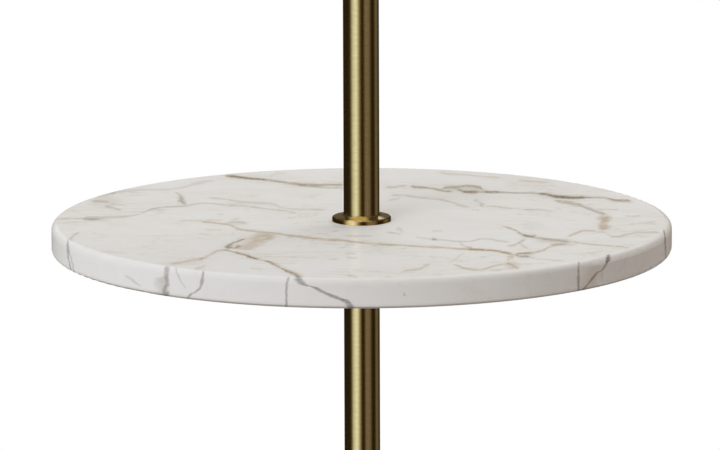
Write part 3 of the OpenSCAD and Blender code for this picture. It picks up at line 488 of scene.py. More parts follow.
# Soft stains on the top: tint, strength, middle (x, y) and half size along x and y
STAINS = (
    ("tan", 0.4, (-60, -54), (8, 16)),
    ("tan", 0.26, (-70, -76), (9, 24)),
    ("olive", 0.42, (66, 108), (13, 9)),
    ("tan", 0.45, (149, 4), (5, 16)),
    ("rose", 0.4, (148, -26), (5, 12)),
    ("olive", 0.34, (116, -70), (14, 8)),
    ("rose", 0.4, (121, -82), (9, 6)),
    ("rose", 0.3, (97, -114), (8, 8)),
    ("grey", 0.2, (124, 80), (24, 8)),
    ("olive", 0.25, (-77, -7), (9, 10)),
    ("grey", 0.2, (-160, 66), (11, 22)),
    ("tan", 0.2, (-108, -139), (14, 7)),
    ("tan", 0.22, (-161, 6), (8, 8)),
    ("tan", 0.3, (89, -148), (6, 14)),
    ("tan", 0.14, (58, 84), (24, 18)),
    ("rose", 0.16, (105, 128), (16, 12)),
    ("rose", 0.14, (-60, 152), (26, 9)),
    ("olive", 0.14, (104, -20), (8, 16)),
)

STONE = rgb(0.845, 0.836, 0.815)
STONE_WARM = rgb(0.825, 0.806, 0.772)
STONE_COOL = rgb(0.815, 0.812, 0.8)
# Painted shade: the share of the stone's colour that is left on the lower corner and the underside
UNDERSIDE_PAINTED_SHADE = rgb(0.52, 0.49, 0.46)

# A vein's profile, in half widths from its middle, and its halo's share of its strength
CORE_IN = 0.35
CORE_OUT = 1.75
HALO_OUT = 4.5
HALO_SHARE = 0.15

# Length over which a vein fades at its ends, in millimetres, at most as a share of its run,
# and how far it fades there, in half widths
TIP_LENGTH = 5.0
TIP_SHARE = 0.22
TIP_GAP = 2.4

# Squared distance from a stain's middle over which it fades, in half sizes
STAIN_FADE = (0.2, 1.4)

# Where the edge veins show: distances in from the rim, and back from the middle, in millimetres
EDGE_REACH = (4.4, 2.4)
EDGE_BACK = (4.0, -4.0)

# Millimetres above the underside over which the painted shade comes in and the polish ends
SHADE_AND_MATTE_HEIGHTS = (2.2, 0.8)

# Hair veins: stretch and scale of the noise, half width of its crest, and strength
HAIR_VEINS = (
    ((0.6, 1.5, 0.8), 17.0, 0.02, 0.3),
    ((0.5, 1.7, 0.9), 34.0, 0.03, 0.24),
)


def node_group(name, *labels):
    """A group with only its sockets. Colour and Tint are colours, and the rest are numbers."""
    tree = bpy.data.node_groups.new(name, "ShaderNodeTree")
    for label in labels:
        kind = "Color" if label in ("Colour", "Tint") else "Float"
        tree.interface.new_socket(label, in_out="INPUT", socket_type="NodeSocket" + kind)
    tree.interface.new_socket("Colour", in_out="OUTPUT", socket_type="NodeSocketColor")
    return tree, Tree(tree)


def vein_group():
    """Group that lays one vein over a colour: its core and a faint tan halo."""
    tree, work = node_group(
        "vein", "Colour", "Along", "Across", "Line", "Rise", "Low", "Rate", "Middle", "End rate",
        "End start", "Tint", "Strength", "Core mask", "Halo mask", "Wobble",
    )
    given = work.nodes.new("NodeGroupInput").outputs
    centre = work.times_plus(given["Line"], given["Rise"], given["Low"])
    away = work.size(work.less(given["Across"], centre))
    side = work.times(away, work.times(given["Wobble"], given["Rate"]))
    past = work.size(work.less(given["Along"], given["Middle"]))
    beyond = work.larger(work.times_plus(past, given["End rate"], given["End start"]), 0.0)
    gap = work.plus(side, beyond)
    core = work.times(work.span(gap, CORE_IN, CORE_OUT, given["Strength"], 0.0), given["Core mask"])
    cored = work.mix(core, given["Colour"], given["Tint"], "MULTIPLY")
    halo = work.times(work.span(gap, CORE_IN, HALO_OUT, given["Strength"], 0.0), given["Halo mask"])
    haloed = work.mix(halo, cored, VEIN_TINTS["tan"], "MULTIPLY")
    work.put(work.nodes.new("NodeGroupOutput").inputs[0], haloed)
    return tree


def stain_group():
    """Group that lays one soft oval stain over a colour."""
    tree, work = node_group(
        "stain", "Colour", "X", "Y", "Middle X", "Middle Y", "X rate", "Y rate", "Tint", "Strength",
        "Mask",
    )
    given = work.nodes.new("NodeGroupInput").outputs
    off_x = work.times(work.less(given["X"], given["Middle X"]), given["X rate"])
    off_y = work.times(work.less(given["Y"], given["Middle Y"]), given["Y rate"])
    reach = work.times_plus(off_x, off_x, work.times(off_y, off_y))
    blot = work.times(work.span(reach, *STAIN_FADE, given["Strength"], 0.0), given["Mask"])
    stained = work.mix(blot, given["Colour"], given["Tint"], "MULTIPLY")
    work.put(work.nodes.new("NodeGroupOutput").inputs[0], stained)
    return tree


def lay_vein(look, group, colour, along, across, vein, core_mask, halo_mask, wobble):
    """The colour with one vein on it. The vein's middle line is a curve through its points."""
    tint, half_width, strength, *points = vein
    first, last = points[0][0], points[-1][0]
    offs = [off for _, off in points]
    low = min(offs)
    rise = max(max(offs) - low, 1.0)
    run = last - first
    length = sum(math.dist(a, b) for a, b in zip(points, points[1:]))
    share = look.times_plus(along, 1 / run, -first / run)
    curve = look.add("FloatCurve", (1.0, share))
    line = curve.mapping.curves[0]
    marks = [((at - first) / run, (off - low) / rise) for at, off in points]
    line.points[0].location = marks[0]
    line.points[1].location = marks[-1]
    for mark in marks[1:-1]:
        line.points.new(*mark)
    for point in line.points:
        point.handle_type = "AUTO_CLAMPED"
    curve.mapping.update()
    tip = min(TIP_LENGTH, run * TIP_SHARE)
    end_rate = TIP_GAP / tip
    rate = run / length / half_width
    values = (
        colour, along, across, curve.outputs[0], rise, low, rate, (first + last) / 2, end_rate,
        -end_rate * (run / 2 - tip), VEIN_TINTS[tint], strength, core_mask, halo_mask, wobble,
    )
    return look.add("Group", values, node_tree=group).outputs[0]


def lay_stains(look, colour, x, y, mask):
    stain = stain_group()
    for tint, strength, (mid_x, mid_y), (half_x, half_y) in STAINS:
        values = (
            colour, x, y, mid_x, mid_y, 1 / half_x, 1 / half_y, VEIN_TINTS[tint], strength, mask,
        )
        colour = look.add("Group", values, node_tree=stain).outputs[0]
    return colour


def lay_hairs(look, colour, shown):
    """Fine veins, which are the crests of a folded noise."""
    for stretch, scale, width, strength in HAIR_VEINS:
        fold = look.noise(look.scaled(look.place, stretch), scale, 4.0, 0.55, 0.8)
        crest = look.size(look.less(fold, 0.5))
        hair = look.times(look.span(crest, 0.0, width, strength, 0.0), shown)
        colour = look.mix(hair, colour, VEIN_TINTS["olive"], "MULTIPLY")
    return colour


def marble(name):
    """Pale stone with the veins listed above, finer ones between them and faint clouds."""
    look = Look(name, STONE, 0.1)
    x, y, z = look.xyz(look.scaled(look.place, (1 / MM, 1 / MM, 1 / MM)))
    depth = look.less(SHELF_TOP / MM, z)
    rim = SHELF_R / MM
    underside = SHELF_T / MM

    # The veins wander a little and dip through the slab
    wide = look.noise(look.place, 55.0, 3.0, 0.6, output="Color")
    tight = look.noise(look.place, 330.0, 3.0, 0.6, output="Color")
    wide_x, wide_y, wide_z = look.xyz(wide)
    tight_x, tight_y = look.xyz(tight)[:2]
    shift_x = look.times_plus(wide_x, 4.0, look.times_plus(tight_x, 2.6, -3.3))
    shift_y = look.times_plus(wide_y, 6.0, look.times_plus(tight_y, 4.0, -5.0))
    top_x = look.plus(x, look.times_plus(depth, 0.7, shift_x))
    top_y = look.plus(y, look.times_plus(depth, -0.5, shift_y))
    edge_x = look.plus(x, look.times(shift_x, 0.7))
    edge_depth = look.plus(depth, look.times(shift_y, 0.2))

    # Narrow and wide, strong and weak places along the veins
    wobble = look.span(wide_z, 0.25, 0.75, 0.65, 1.45)
    weak = look.noise(look.place, 110.0, 3.0, 0.6)
    fade = look.span(weak, 0.3, 0.5, 0.5, 1.0)
    grain = look.span(look.noise(look.place, 520.0, 3.0, 0.65), 0.32, 0.55, 0.55, 1.0)
    broken = look.times(fade, grain)

    near_rim = look.span(look.radius(x, y), *(rim - reach for reach in EDGE_REACH))
    on_edge = look.times(near_rim, look.span(y, *EDGE_BACK))
    off_edge = look.less(1.0, on_edge)
    on_top = look.times(broken, off_edge)
    on_front = look.times(look.math("POWER", broken, 0.5), on_edge)

    # Clouds, and long smudges that lie along x
    clouds = look.noise(look.place, 11.0, 5.0, 0.6, 0.4)
    mist = look.noise(look.scaled(look.place, (1.0, 1.8, 1.0)), 30.0, 5.0, 0.65, 1.2)
    smudge = look.noise(look.scaled(look.place, (0.55, 1.7, 1.0)), 48.0, 5.0, 0.65, 0.5)
    colour = look.blend(clouds, 0.4, 0.66, STONE, STONE_WARM)
    colour = look.blend(mist, 0.45, 0.72, colour, STONE_COOL, 0.7)
    smeared = look.times(look.span(smudge, 0.56, 0.74, 0.0, 0.14), off_edge)
    colour = look.mix(smeared, colour, VEIN_TINTS["rose"], "MULTIPLY")

    colour = lay_stains(look, colour, top_x, top_y, on_top)
    hair_places = look.times(look.span(clouds, 0.42, 0.6), look.span(weak, 0.36, 0.6))
    hair_share = look.times_plus(off_edge, 0.75, 0.25)
    colour = lay_hairs(look, colour, look.times(hair_places, hair_share))

    vein = vein_group()
    top_halo = look.times(off_edge, HALO_SHARE)
    for run, *rest in TOP_VEINS:
        along, across = (top_x, top_y) if run == "x" else (top_y, top_x)
        colour = lay_vein(look, vein, colour, along, across, rest, on_top, top_halo, wobble)
    for rest in EDGE_VEINS:
        colour = lay_vein(look, vein, colour, edge_depth, edge_x, rest, on_front, 0.0, wobble)

    # The lower corner and the underside get painted shade in their colour, and are left less
    # polished and duller
    painted_shade_and_matte = look.span(depth, *(underside - height for height in SHADE_AND_MATTE_HEIGHTS))
    colour = look.mix(painted_shade_and_matte, colour, UNDERSIDE_PAINTED_SHADE, "MULTIPLY")
    look.set("Base Color", colour)
    look.set("Specular IOR Level", 0.02)
    polish = look.span(mist, 0.3, 0.7, 0.19, 0.27)
    look.set("Roughness", look.times_plus(painted_shade_and_matte, 0.5, polish))
    look.bump(look.noise(look.place, 1400.0, 3.0, 0.6), 0.012 * MM)
    return look.material


# Tone of each metal and cloth, and its darker tone
POLE = rgb(0.72, 0.645, 0.4), rgb(0.58, 0.49, 0.27)
RING = rgb(0.82, 0.68, 0.37), rgb(0.64, 0.46, 0.2)
PLATED = rgb(0.76, 0.63, 0.36), rgb(0.6, 0.47, 0.24)
STEEL = rgb(0.62, 0.62, 0.6), rgb(0.45, 0.45, 0.44)
CONTACT = rgb(0.82, 0.66, 0.34), PLATED[1]
CHROMED = rgb(0.74, 0.74, 0.72), STEEL[1]
WIRE = rgb(0.74, 0.66, 0.44), PLATED[1]
LINEN = rgb(0.78, 0.74, 0.655), rgb(0.6, 0.545, 0.455)
TAPE = rgb(0.76, 0.72, 0.635), rgb(0.62, 0.57, 0.48)

# Kind and values of the material in each slot
MATERIALS = {
    "felt": (felt, rgb(0.022, 0.022, 0.024)),
    "cast_weight": (cast_iron, rgb(0.12, 0.12, 0.125), 0.7),
    "cover_brass": (turned_metal, *POLE, 0.26, 0.35 * MM, 0.01 * MM),
    "pole_brass": (turned_metal, *POLE, 0.17, 0.22 * MM, 0.006 * MM),
    "ring_brass": (turned_metal, *RING, 0.15, 0.18 * MM, 0.006 * MM),
    "plug_brass": (turned_metal, *PLATED, 0.3, 0.4 * MM, 0.02 * MM),
    "zinc_steel": (satin_metal, *STEEL, 0.35),
    "black_rubber": (moulded, rgb(0.025, 0.025, 0.026), 0.6, 900.0, 0.04 * MM, 0.3),
    "nylon": (moulded, rgb(0.8, 0.79, 0.74), 0.45),
    "marble": (marble,),
    "harp_brass": (satin_metal, *PLATED, 0.24),
    "fitting_brass": (satin_metal, *PLATED, 0.2),
    "holder_brass": (turned_metal, *PLATED, 0.24, 0.3 * MM, 0.008 * MM),
    "liner_card": (card, rgb(0.5, 0.4, 0.27)),
    "holder_plastic": (moulded, rgb(0.035, 0.028, 0.024), 0.3),
    "contact_brass": (satin_metal, *CONTACT, 0.28),
    "bulb_metal": (satin_metal, *CHROMED, 0.22),
    "insulator": (moulded, rgb(0.018, 0.018, 0.019), 0.25),
    "bulb_plastic": (moulded, rgb(0.8, 0.8, 0.78), 0.35),
    "bulb_opal": (opal, rgb(0.86, 0.86, 0.84)),
    "shade_wire": (satin_metal, *WIRE, 0.3),
    "shade_lining": (moulded, rgb(0.8, 0.79, 0.765), 0.42, 250.0, 0.02 * MM),
    "shade_linen": (weave, *LINEN, 0.8 * MM, 1.0, 0.25 * MM),
    "shade_tape": (weave, *TAPE, 0.5 * MM, 1.6, 0.1 * MM),
}


# Meshes


def add_object(name, data):
    added = bpy.data.objects.new(name, data)
    bpy.context.scene.collection.objects.link(added)
    return added


def add_mesh(name, verts, faces, material):
    mesh = bpy.data.meshes.new(name)
    mesh.from_pydata(verts, [], faces)
    mesh.materials.append(material)
    return add_object(name, mesh)


def grid_piece(name, rows, slot, body, closed_rows=False, caps=False):
    """A smooth piece from rows of points. Each row closes on itself, and the rows may too."""
    count = len(rows[0])
    verts = [p for row in rows for p in row]
    faces = []
    last = len(rows) if closed_rows else len(rows) - 1
    for i in range(last):
        low, high = i * count, (i + 1) % len(rows) * count
        for j in range(count):
            k = (j + 1) % count
            faces.append((low + j, low + k, high + k, high + j))
    if caps:
        faces.append(tuple(reversed(range(count))))
        faces.append(tuple(range((len(rows) - 1) * count, len(rows) * count)))
    piece = add_mesh(name, verts, faces, materials[slot])
    piece.data.polygons.foreach_set("use_smooth", [True] * len(faces))
    piece.data.update()
    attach(piece, body)
    return piece


def shade_r(z):
    """Outside radius of the shade's cloth at a height."""
    share = (z - SHADE_LOW.z) / (SHADE_HIGH.z - SHADE_LOW.z)
    return SHADE_BOTTOM_R + (SHADE_TOP_R - SHADE_BOTTOM_R) * share


def on_circle(angle, radius, z):
    return Vector((math.cos(angle) * radius, math.sin(angle) * radius, z))


def ring_of(radius_at, z_at, segments):
    """One row of points round the lamp's axis, from radius and height by angle."""
    angles = [2 * math.pi * i / segments for i in range(segments)]
    return [on_circle(a, radius_at(a), z_at(a)) for a in angles]


def lap(angle, middle, half_width, ramp):
    """1 on a lapped seam, 0 away from it, with a short ramp at each side."""
    away = abs((angle - middle + math.pi) % (2 * math.pi) - math.pi)
    share = (half_width + ramp - away) / ramp
    return min(max(share, 0.0), 1.0)


BACK = math.pi / 2
SHADE_SEGMENTS = 720
CLOTH_STEPS = 24

# The cloth's outside lies this far inside its solid's, and its inside off the liner
CLOTH_INSET = 0.12 * MM
CLOTH_CLEAR = 0.02 * MM

# Seams: rise, angle of the ramp beside them, and the tapes' width and turn from the cloth's
CLOTH_LAP_RISE = 0.35 * MM
CLOTH_LAP_RAMP = 0.0012
TAPE_LAP_W = 12 * MM
TAPE_LAP_RISE = 0.3 * MM
TAPE_LAP_RAMP = 0.0015
TAPE_LAP_TURN = 0.06

# A tape's gap to the cloth, its distance from the shade's edge, and the steps of its fold
TAPE_CLEAR = 0.04 * MM
TAPE_DROP = 0.2 * MM
TAPE_STEPS = 8


def cloth_swell(angle, z):
    """Small unevenness of cloth that is stuck to its liner."""
    p = on_circle(angle, 3.0, z * 9.0)
    return 0.18 * MM * noise.noise(p) + 0.08 * MM * noise.noise(p * 4.0)


def make_shade_cloth():
    """The shade's cloth, with its cut ends lapped at the back."""
    lap_half = LAP_W / 2 / SHADE_TOP_R
    height = SHADE_HIGH.z - SHADE_LOW.z
    heights = [SHADE_LOW.z + height * i / CLOTH_STEPS for i in range(CLOTH_STEPS + 1)]

    def outside(z):
        def radius_at(a):
            seam = CLOTH_LAP_RISE * lap(a, BACK, lap_half, CLOTH_LAP_RAMP)
            return shade_r(z) - CLOTH_INSET + cloth_swell(a, z) + seam

        return ring_of(radius_at, lambda a: z, SHADE_SEGMENTS)

    def inside(z):
        return ring_of(lambda a: shade_r(z) - FABRIC_T + CLOTH_CLEAR, lambda a: z, SHADE_SEGMENTS)

    rows = [outside(z) for z in heights] + [inside(z) for z in reversed(heights)]
    cloth = grid_piece("shade_cloth", rows, "shade_linen", "shade", closed_rows=True)
    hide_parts("shade_fabric")
    return cloth


def tape_outline(edge_z, up):
    """Closed outline of a tape folded over one edge of the shade, as offsets from the cloth."""
    half = (FABRIC_T + LINER_T) / 2
    turn_r = half + TAPE_CLEAR
    outline = []
    band = edge_z - up * TAPE_W
    fold = edge_z - up * TAPE_FOLD
    top = edge_z - up * TAPE_DROP
    turn = [math.pi * i / TAPE_STEPS for i in range(TAPE_STEPS + 1)]
    for r in (turn_r + TAPE_T, turn_r):
        rise = up * (r - turn_r * 0.75)
        side = [(r - half, band), (r - half, (band + top) / 2)]
        over = [(-half + r * math.cos(a), top + rise * math.sin(a)) for a in turn]
        inner = [(-half - r, (fold + top) / 2), (-half - r, fold)]
        face = side + over + inner
        outline += face if r > turn_r else list(reversed(face))
    return outline


def make_tape(name, edge_z, up):
    lap_half = TAPE_LAP_W / 2 / SHADE_TOP_R
    rows = []
    for offset, z in tape_outline(edge_z, up):
        inner = offset < -(FABRIC_T + LINER_T) / 2

        def radius_at(a):
            step = TAPE_LAP_RISE * lap(a, BACK + TAPE_LAP_TURN, lap_half, TAPE_LAP_RAMP)
            swell = 0.06 * MM * noise.noise(on_circle(a, 7.0, z * 40.0))
            return shade_r(z) + offset + (-step if inner else step) + swell

        def z_at(a):
            near_band = abs(z - edge_z) > TAPE_W * 0.8
            return z + (0.15 * MM * noise.noise(on_circle(a, 12.0, z * 10.0)) if near_band else 0.0)

        rows.append(ring_of(radius_at, z_at, SHADE_SEGMENTS))
    if up > 0:
        rows.reverse()
    tape = grid_piece(name, rows, "shade_tape", "shade", closed_rows=True)
    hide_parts("shade_tapes")
    return tape


def make_shade():
    cloth = make_shade_cloth()
    tapes = [
        make_tape("shade_tape_top", SHADE_HIGH.z, 1),
        make_tape("shade_tape_bottom", SHADE_LOW.z, -1),
    ]


BEND_STEPS = 12
CROWN_STEPS = 60
WIRE_SIDES = 24


def make_harp():
    """The harp's wire as one smooth tube, flat on top where the seat is fixed."""
    flat_z = SEAT_LOW.z
    leg_z = HARP_LOW.z
    rise = flat_z - WIRE_R + HARP_FLAT - leg_z
    lean = HARP_LEAN
    bend_x = LEG_X + HARP_BEND_R * (1 - math.cos(lean))
    bend_z = HARP_FOOT + HARP_BEND_R * math.sin(lean)
    lean_len = (rise - bend_z) / ((1 + math.sin(lean)) / math.cos(lean)) - bend_x
    crown_x = bend_x + lean_len * math.sin(lean)
    crown_z = bend_z + lean_len * math.cos(lean)
    crown_r = crown_x / math.cos(lean)
    half = [(LEG_X, 0.0, 0.0), (LEG_X, HARP_FOOT / 2, 0.0)]
    for i in range(BEND_STEPS + 1):
        a = lean * i / BEND_STEPS
        bend = LEG_X + HARP_BEND_R * (1 - math.cos(a))
        half.append((bend, HARP_FOOT + HARP_BEND_R * math.sin(a), a))
    for i in range(CROWN_STEPS + 1):
        a = -lean + (math.pi / 2 + lean) * i / CROWN_STEPS
        half.append((crown_r * math.cos(a), crown_z + crown_r * (math.sin(lean) + math.sin(a)), -a))
    path = half + [(-x, z, math.pi - tilt) for x, z, tilt in reversed(half[:-1])]
    rows = []
    for x, z, tilt in path:
        row = []
        for j in range(WIRE_SIDES):
            a = 2 * math.pi * j / WIRE_SIDES
            px = x + WIRE_R * math.cos(a) * math.cos(tilt)
            pz = leg_z + z - WIRE_R * math.cos(a) * math.sin(tilt)
            if abs(px) < SEAT_HIGH.x:
                pz = min(pz, flat_z)
            row.append((px, WIRE_R * math.sin(a), pz))
        rows.append(row)
    wire = grid_piece("harp_wire", rows, "harp_brass", "stand", caps=True)
    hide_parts("harp")


# Half sizes of a weld bead, and the steps and sides of its rows
WELD_SIZE = Vector((1.3 * MM, 2.4 * MM, 1.4 * MM))
WELD_STEPS = 12
WELD_SIDES = 16


def make_weld(name, angle):
    """Small uneven bead where a spider arm meets the top ring."""
    wire_r = (TOP_RING_HIGH.z - TOP_RING_LOW.z) / 2
    ring = Vector((TOP_RING_HIGH.x - wire_r, 0.0, TOP_RING_LOW.z + wire_r))
    middle = ring - wire_r * Vector((0.95, 0.0, 0.45))
    turn = Matrix.Rotation(angle, 3, "Z")
    rows = []
    for i in range(1, WELD_STEPS):
        tilt = math.pi * i / WELD_STEPS
        out, along = math.sin(tilt), math.cos(tilt)
        row = []
        for j in range(WELD_SIDES):
            a = 2 * math.pi * j / WELD_SIDES
            way = Vector((out * math.cos(a), along, out * math.sin(a)))
            lump = 1.0 + 0.18 * noise.noise(way * 1.7 + Vector((angle, 0.0, 0.0)))
            row.append(turn @ (middle + lump * Vector(w * s for w, s in zip(way, WELD_SIZE))))
        rows.append(row)
    grid_piece(name, rows, "shade_wire", "shade", caps=True)


FELT_SEGMENTS = 360
FELT_ROUND_STEPS = 6
FELT_FLUFF = 0.2 * MM


def make_felt():
    """Felt disc with a soft rounded rim under the base."""
    radius = FELT_HIGH.x
    thick = FELT_HIGH.z
    round_r = thick * 0.4
    outline = [(radius * share, 0.0) for share in (0.02, 0.25, 0.5, 0.75, 0.92)]
    for i in range(FELT_ROUND_STEPS + 1):
        a = -math.pi / 2 + math.pi / 2 * i / FELT_ROUND_STEPS
        outline.append((radius - round_r + round_r * math.cos(a), round_r + round_r * math.sin(a)))
    outline += [(radius * share, thick) for share in (1.0, 0.9, 0.5, 0.02)]
    rows = []
    for r, z in outline:
        fluff = 0.0 if r < radius * 0.95 else FELT_FLUFF

        def radius_at(a):
            return r - fluff * abs(noise.noise(on_circle(a, 60, r * 500)))

        rows.append(ring_of(radius_at, lambda a: z, FELT_SEGMENTS))
    disc = grid_piece("felt_disc", rows, "felt", "stand", caps=True)
    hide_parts("felt_pad")


# Studio


def make_camera():
    """Camera in front of the shelf, a little above it, framed as the photograph is."""
    camera = add_object("camera", bpy.data.cameras.new("camera"))
    bpy.context.scene.camera = camera
    camera.data.sensor_width = SENSOR_W
    camera.data.lens = FOCAL_PX * SENSOR_W / IMAGE_W
    camera.data.clip_end = 200.0
    back = Vector((0.0, -math.cos(CAMERA_RISE), math.sin(CAMERA_RISE)))
    up = Vector((0.0, math.sin(CAMERA_RISE), math.cos(CAMERA_RISE)))
    metre_px = FOCAL_PX / CAMERA_DISTANCE
    aim = Vector((0.0, 0.0, SHELF_TOP))
    aim.x += (IMAGE_W / 2 - SHELF_CENTRE_X) / metre_px
    aim -= up * (IMAGE_H / 2 - SHELF_CENTRE_Y) / metre_px
    camera.location = Vector((0.0, 0.0, SHELF_TOP)) + back * CAMERA_DISTANCE
    look = (aim - camera.location).to_track_quat("-Z", "Y").to_matrix().to_4x4()
    roll = Matrix.Rotation(-CAMERA_ROLL, 4, "Z")
    camera.matrix_world = Matrix.Translation(camera.location) @ look @ roll


def seen_rays(work):
    """1 for camera, glossy and transmission rays, 0 for the rays that light a surface."""
    path = work.add("LightPath").outputs
    straight = work.larger(path["Is Camera Ray"], path["Is Glossy Ray"])
    return work.larger(straight, path["Is Transmission Ray"])


# Light of the sky straight up and level on its cool and warm sides, the way to the cool side,
# and the spans of direction over which they blend
SKY_TOP = rgb(0.6, 0.6, 0.6)
SKY_COOL = rgb(0.45, 0.465, 0.515)
SKY_WARM = rgb(0.16, 0.07, 0.01)
COOL_WAY = (-0.88, -0.3, 0.0)
COOL_SPAN = (-0.5, 0.5)
TOP_SPAN = (0.1, 0.9)

# The floor is pale up to the first distance from the lamp's axis. Past the second it is plain
# white to look at, and it lights the lamp as its far colour would.
FLOOR_HALF = 60.0
FLOOR_NEAR = 0.6
FLOOR_FAR = 1.4
FLOOR_COLOUR = rgb(0.87, 0.87, 0.86)
FLOOR_FAR_COLOUR = rgb(0.25, 0.19, 0.14)


def make_world():
    world = bpy.data.worlds.new("studio")
    bpy.context.scene.world = world
    world.use_nodes = True
    work = Tree(world.node_tree)
    way = work.add("TexCoord").outputs["Generated"]
    cool = work.add("VectorMath", (way, COOL_WAY), operation="DOT_PRODUCT").outputs["Value"]
    level = work.blend(cool, *COOL_SPAN, SKY_WARM, SKY_COOL)
    lit = work.nodes["Background"]
    work.put(lit.inputs["Color"], work.blend(work.xyz(way)[2], *TOP_SPAN, level, SKY_TOP))
    white = work.add("Background", (WHITE, 1.0))
    mix = work.add("MixShader", (seen_rays(work), lit.outputs[0], white.outputs[0]))
    work.put(work.nodes["World Output"].inputs["Surface"], mix.outputs[0])


def make_floor():
    """Pale floor that keeps the lamp's shadow near it."""
    look = Look("floor", FLOOR_COLOUR, 0.9)
    look.set("Specular IOR Level", 0.1)
    beyond = look.span(look.radius(*look.xyz(look.place)[:2]), FLOOR_NEAR, FLOOR_FAR)
    far = look.times(beyond, seen_rays(look))
    dimmed = look.less(beyond, far)
    look.set("Base Color", look.mix(dimmed, FLOOR_COLOUR, FLOOR_FAR_COLOUR))
    glow = look.add("Emission", (WHITE, 1.0))
    look.surface(look.add("MixShader", (far, look.shader.outputs[0], glow.outputs[0])))
    corners = [(x * FLOOR_HALF, y * FLOOR_HALF, 0) for x, y in ((-1, -1), (1, -1), (1, 1), (-1, 1))]
    add_mesh("floor", corners, [(0, 1, 2, 3)], look.material)


# Drum of cards
CARD_R = 1.5
CARD_H = 3.2
CARD_LIFT = MM
CARD_SIDES = 180

# The drum's wall, as stops of (degrees from the front towards the right, red, green, blue)
CARD_STOPS = (
    (-180, 0.14, 0.12, 0.085), (-166, 0.12, 0.1, 0.07), (-158, 0.026, 0.016, 0.005),
    (-88, 0.026, 0.016, 0.005), (-77, 0.05, 0.035, 0.015), (-70, 0.16, 0.14, 0.08),
    (-63, 0.45, 0.42, 0.3), (-55, 0.74, 0.72, 0.58), (-46, 0.88, 0.9, 0.8),
    (-34, 1.02, 1.08, 1.1), (-26, 0.9, 0.9, 0.78), (-20, 0.66, 0.59, 0.42),
    (-12, 0.34, 0.27, 0.15), (-5, 0.12, 0.09, 0.035), (1, 0.035, 0.02, 0.004),
    (12, 0.025, 0.013, 0.002), (19, 0.09, 0.06, 0.03), (25, 0.21, 0.16, 0.12),
    (38, 0.235, 0.18, 0.13), (52, 0.19, 0.15, 0.1), (60, 0.12, 0.085, 0.05),
    (68, 0.035, 0.02, 0.006), (86, 0.026, 0.013, 0.003), (94, 0.06, 0.04, 0.02),
    (103, 0.15, 0.12, 0.08), (115, 0.17, 0.145, 0.1), (130, 0.1, 0.075, 0.045),
    (142, 0.05, 0.035, 0.015), (156, 0.03, 0.02, 0.009), (166, 0.12, 0.1, 0.07),
    (180, 0.14, 0.12, 0.085),
)

# The wall above these heights, and a small bright patch on it that streaks the seat ring
UPPER_Z = (1.12, 1.45)
UPPER_STOPS = (
    (-110, 0.08, 0.06, 0.03), (-80, 0.8, 0.68, 0.46), (25, 1.0, 0.84, 0.56),
    (60, 0.1, 0.07, 0.04), (180, 0.08, 0.06, 0.03),
)
PATCH_TURN = 174.8
PATCH_HALF = 0.9
PATCH_Z = 1.26
PATCH_FADE = (0.12, 0.04)
PATCH_COLOUR = rgb(3.0, 3.1, 3.4)

# The drum's lid, from its left to its right: (metres, red, green, blue)
LID_STOPS = (
    (-0.45, 0.9, 0.92, 0.95), (-0.06, 1.0, 1.0, 1.0), (0.04, 0.16, 0.13, 0.06),
    (0.18, 0.12, 0.09, 0.04), (0.34, 0.52, 0.45, 0.32), (0.8, 0.42, 0.36, 0.26),
    (1.15, 0.1, 0.08, 0.05),
)


def ramp(look, value, low, high, listed):
    """Colour by a value, from stops of (value, red, green, blue) between low and high."""
    node = look.add("ValToRGB", (look.span(value, low, high, shape="LINEAR"),))
    stops = node.color_ramp.elements
    while len(stops) < len(listed):
        stops.new(0.5)
    for stop, (at, red, green, blue) in zip(stops, listed):
        stop.position = (at - low) / (high - low)
        stop.color = rgb(red, green, blue)
    return node.outputs[0]


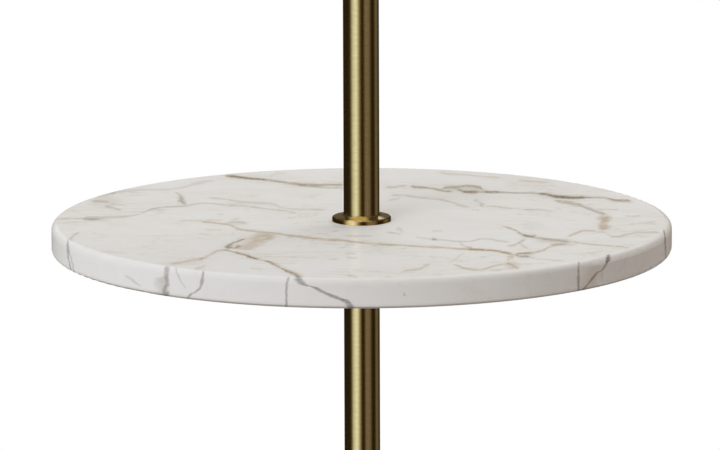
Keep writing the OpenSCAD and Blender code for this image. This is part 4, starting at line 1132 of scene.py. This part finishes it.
def make_cards():
    """Closed drum of cards round the lamp that only polished surfaces see."""
    look = Look("cards", rgb(0.0, 0.0, 0.0), 1.0)
    x, y, z = look.xyz(look.place)
    turn = look.times(look.math("ARCTAN2", x, look.times(y, -1.0)), 180 / math.pi)
    lower = ramp(look, turn, -180, 180, CARD_STOPS)
    upper = ramp(look, turn, -180, 180, UPPER_STOPS)
    colour = look.blend(z, *UPPER_Z, lower, upper)
    off_turn = look.size(look.less(turn, PATCH_TURN))
    off_z = look.size(look.less(z, PATCH_Z))
    patch = look.times(look.span(off_turn, PATCH_HALF, 0.0), look.span(off_z, *PATCH_FADE))
    colour = look.mix(patch, colour, PATCH_COLOUR)
    lid = ramp(look, x, -CARD_R, CARD_R, LID_STOPS)
    colour = look.mix(look.math("GREATER_THAN", z, CARD_H - MM), colour, lid)
    look.surface(look.add("Emission", (colour, 1.0)))
    count = CARD_SIDES
    wall = [ring_of(lambda a: CARD_R, lambda a: z, count) for z in (CARD_LIFT, CARD_H)]
    faces = [(i, (i + 1) % count, count + (i + 1) % count, count + i) for i in range(count)]
    faces += [tuple(range(count, 2 * count)), tuple(reversed(range(count)))]
    cards = add_mesh("cards", wall[0] + wall[1], faces, look.material)
    for ray in ("camera", "diffuse", "shadow", "transmission", "volume_scatter"):
        setattr(cards, "visible_" + ray, False)


# Softboxes: name, place, height that they face on the lamp's axis, size, power and colour
SOFTBOXES = (
    ("key", (-1.62, -2.63, 2.0), 0.7, 2.2, 48.0, (0.95, 0.975, 1.0)),
    ("back", (0.9, 2.4, 2.9), 0.7, 3.4, 70.0, (1.0, 0.99, 0.97)),
    ("right", (1.95, 1.9, 0.7), 0.6, 1.2, 7.0, (1.0, 0.97, 0.92)),
    ("left", (-2.7, 0.9, 0.9), 0.6, 1.8, 13.5, (0.92, 0.97, 1.0)),
)


def make_softbox(name, place, aim_z, size, power, colour):
    data = bpy.data.lights.new(name, "AREA")
    data.color = colour
    data.shape = "SQUARE"
    data.size = size
    data.energy = power
    light = add_object(name, data)
    light.location = place
    light.rotation_mode = "QUATERNION"
    aim = Vector((0.0, 0.0, aim_z)) - Vector(place)
    light.rotation_quaternion = aim.to_track_quat("-Z", "Y")
    light.visible_glossy = False


make_camera()
make_world()
make_floor()
make_cards()
for softbox in SOFTBOXES:
    make_softbox(*softbox)
materials = {slot: kind(slot, *values) for slot, (kind, *values) in MATERIALS.items()}
for part in frame["record"]["subparts"]:
    for slot in frame["nodes"][part["node"]].material_slots:
        slot.material = materials[part["material_slot"]]

# The marble is left out of reflections, so that the pole keeps its bands down to the shelf
frame["nodes"]["marble_shelf"].visible_glossy = False

make_shade()
make_harp()
make_felt()
for i, degrees in enumerate(ARM_ANGLES, 1):
    make_weld("spider_weld_%d" % i, math.radians(degrees))
bpy.context.scene.view_settings.view_transform = "Standard"
